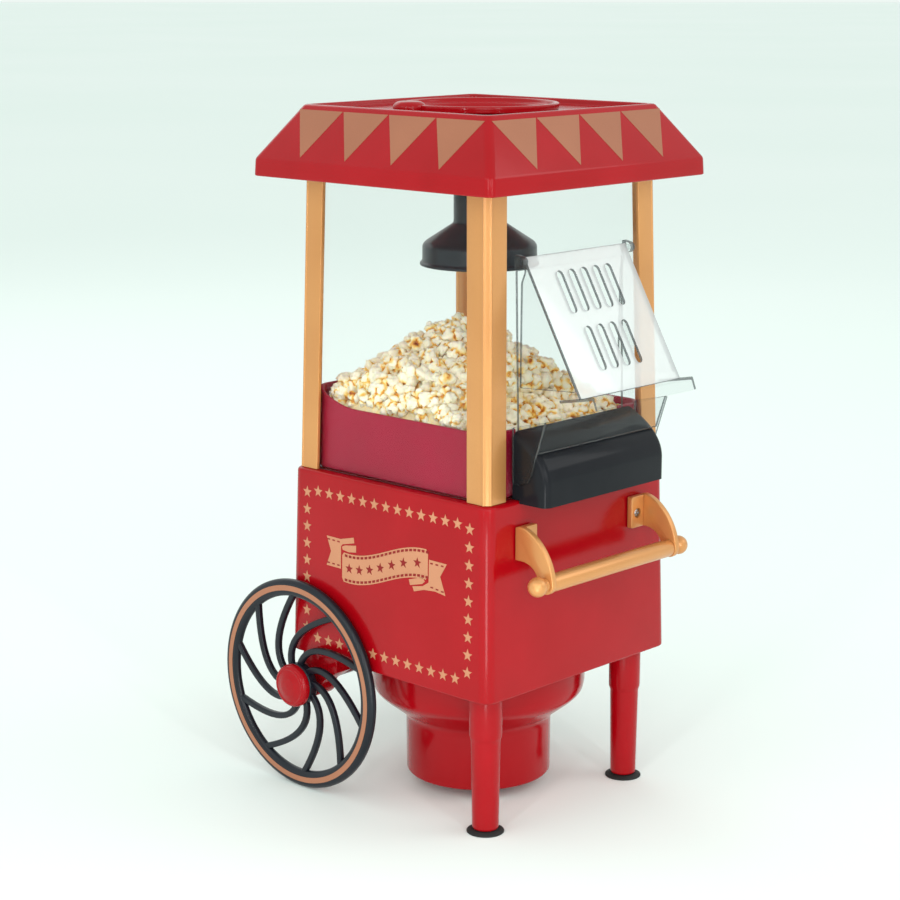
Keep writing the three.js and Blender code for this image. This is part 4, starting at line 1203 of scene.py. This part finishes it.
# ---- studio
def area_light(name, place, aim_height, size, power):
    """A rectangular light at a place in metres, aimed at a height on the cart's middle line."""
    data = bpy.data.lights.new(name, "AREA")
    data.shape = "RECTANGLE"
    data.size, data.size_y = size
    data.energy = power
    light = linked(name, data)
    light.location = place
    way = Vector((0, 0, aim_height)) - Vector(place)
    light.rotation_euler = way.to_track_quat("-Z", "Y").to_euler()
    light.visible_camera = False


def studio():
    """A pale floor that reaches the horizon, an even sky and seven soft lights."""
    material, nodes, links = new_material("floor_paper")
    shader = nodes["Principled BSDF"]
    tone = noise_value(nodes, links, 0.6, 2)
    colour = ramp(nodes, links, tone, 0.2, 0.8, rgb(241, 250, 246), rgb(245, 252, 249))
    links.new(colour, shader.inputs["Base Color"])
    set_inputs(shader, Roughness=0.9, Specular_IOR_Level=0.2)
    reach = 60.0
    mesh = bpy.data.meshes.new("floor")
    mesh.from_pydata([(-reach, -reach, 0), (reach, -reach, 0), (reach, reach, 0), (-reach, reach, 0)],
                     [], [(0, 1, 2, 3)])
    mesh.materials.append(material)
    linked("floor", mesh)

    world = bpy.data.worlds.new("studio_world")
    world.use_nodes = True
    bpy.context.scene.world = world
    set_inputs(world.node_tree.nodes["Background"], Color=(0.93, 1.0, 0.97, 1), Strength=0.93)

    area_light("key", (1.5, -1.7, 1.7), 0.25, (1.2, 1.2), 7)
    area_light("softbox", (-1.5, -1.7, 0.9), 0.28, (0.9, 0.9), 6)
    area_light("fill", (-1.9, 0.3, 1.5), 0.2, (1.0, 1.0), 3)
    area_light("back", (0.5, 1.8, 1.6), 0.25, (1.6, 1.0), 5)
    area_light("left_strip", (-1.45, -0.55, 0.75), 0.25, (0.04, 1.3), 4)
    area_light("right_strip", (-0.55, -1.45, 0.75), 0.25, (0.04, 1.3), 4)
    area_light("low_panel", (-0.34, -0.325, 0.085), 0.12, (0.1, 0.15), 0.28)


def camera():
    """The photograph's view: about 12 degrees down, from the front left."""
    data = bpy.data.cameras.new("camera")
    data.lens = 89.17
    data.sensor_width = 36
    data.clip_end = 30
    eye = linked("camera", data)
    eye.location = (-1.04856, -0.96348 + Y0 * MM, 0.53723)
    way = Vector((0.710387, 0.670476, -0.214039))
    eye.rotation_euler = way.to_track_quat("-Z", "Y").to_euler()
    scene = bpy.context.scene
    scene.camera = eye
    scene.view_settings.view_transform = "Standard"
    scene.cycles.transparent_max_bounces = 24


camera()
studio()
base_shell()
for side_name, side_sign in SIDES:
    side_print(side_name, side_sign)
legs_and_feet()
fan_drum()
underside()
bowl()
popcorn_pile()
posts()
windows()
front_pane()
flap()
chute_hood()
chute_guard()
handle()
roof()
pennants()
cup()
bell()
funnel()
wheels()
axle()
switch_and_insides()

bpy.context.view_layer.update()
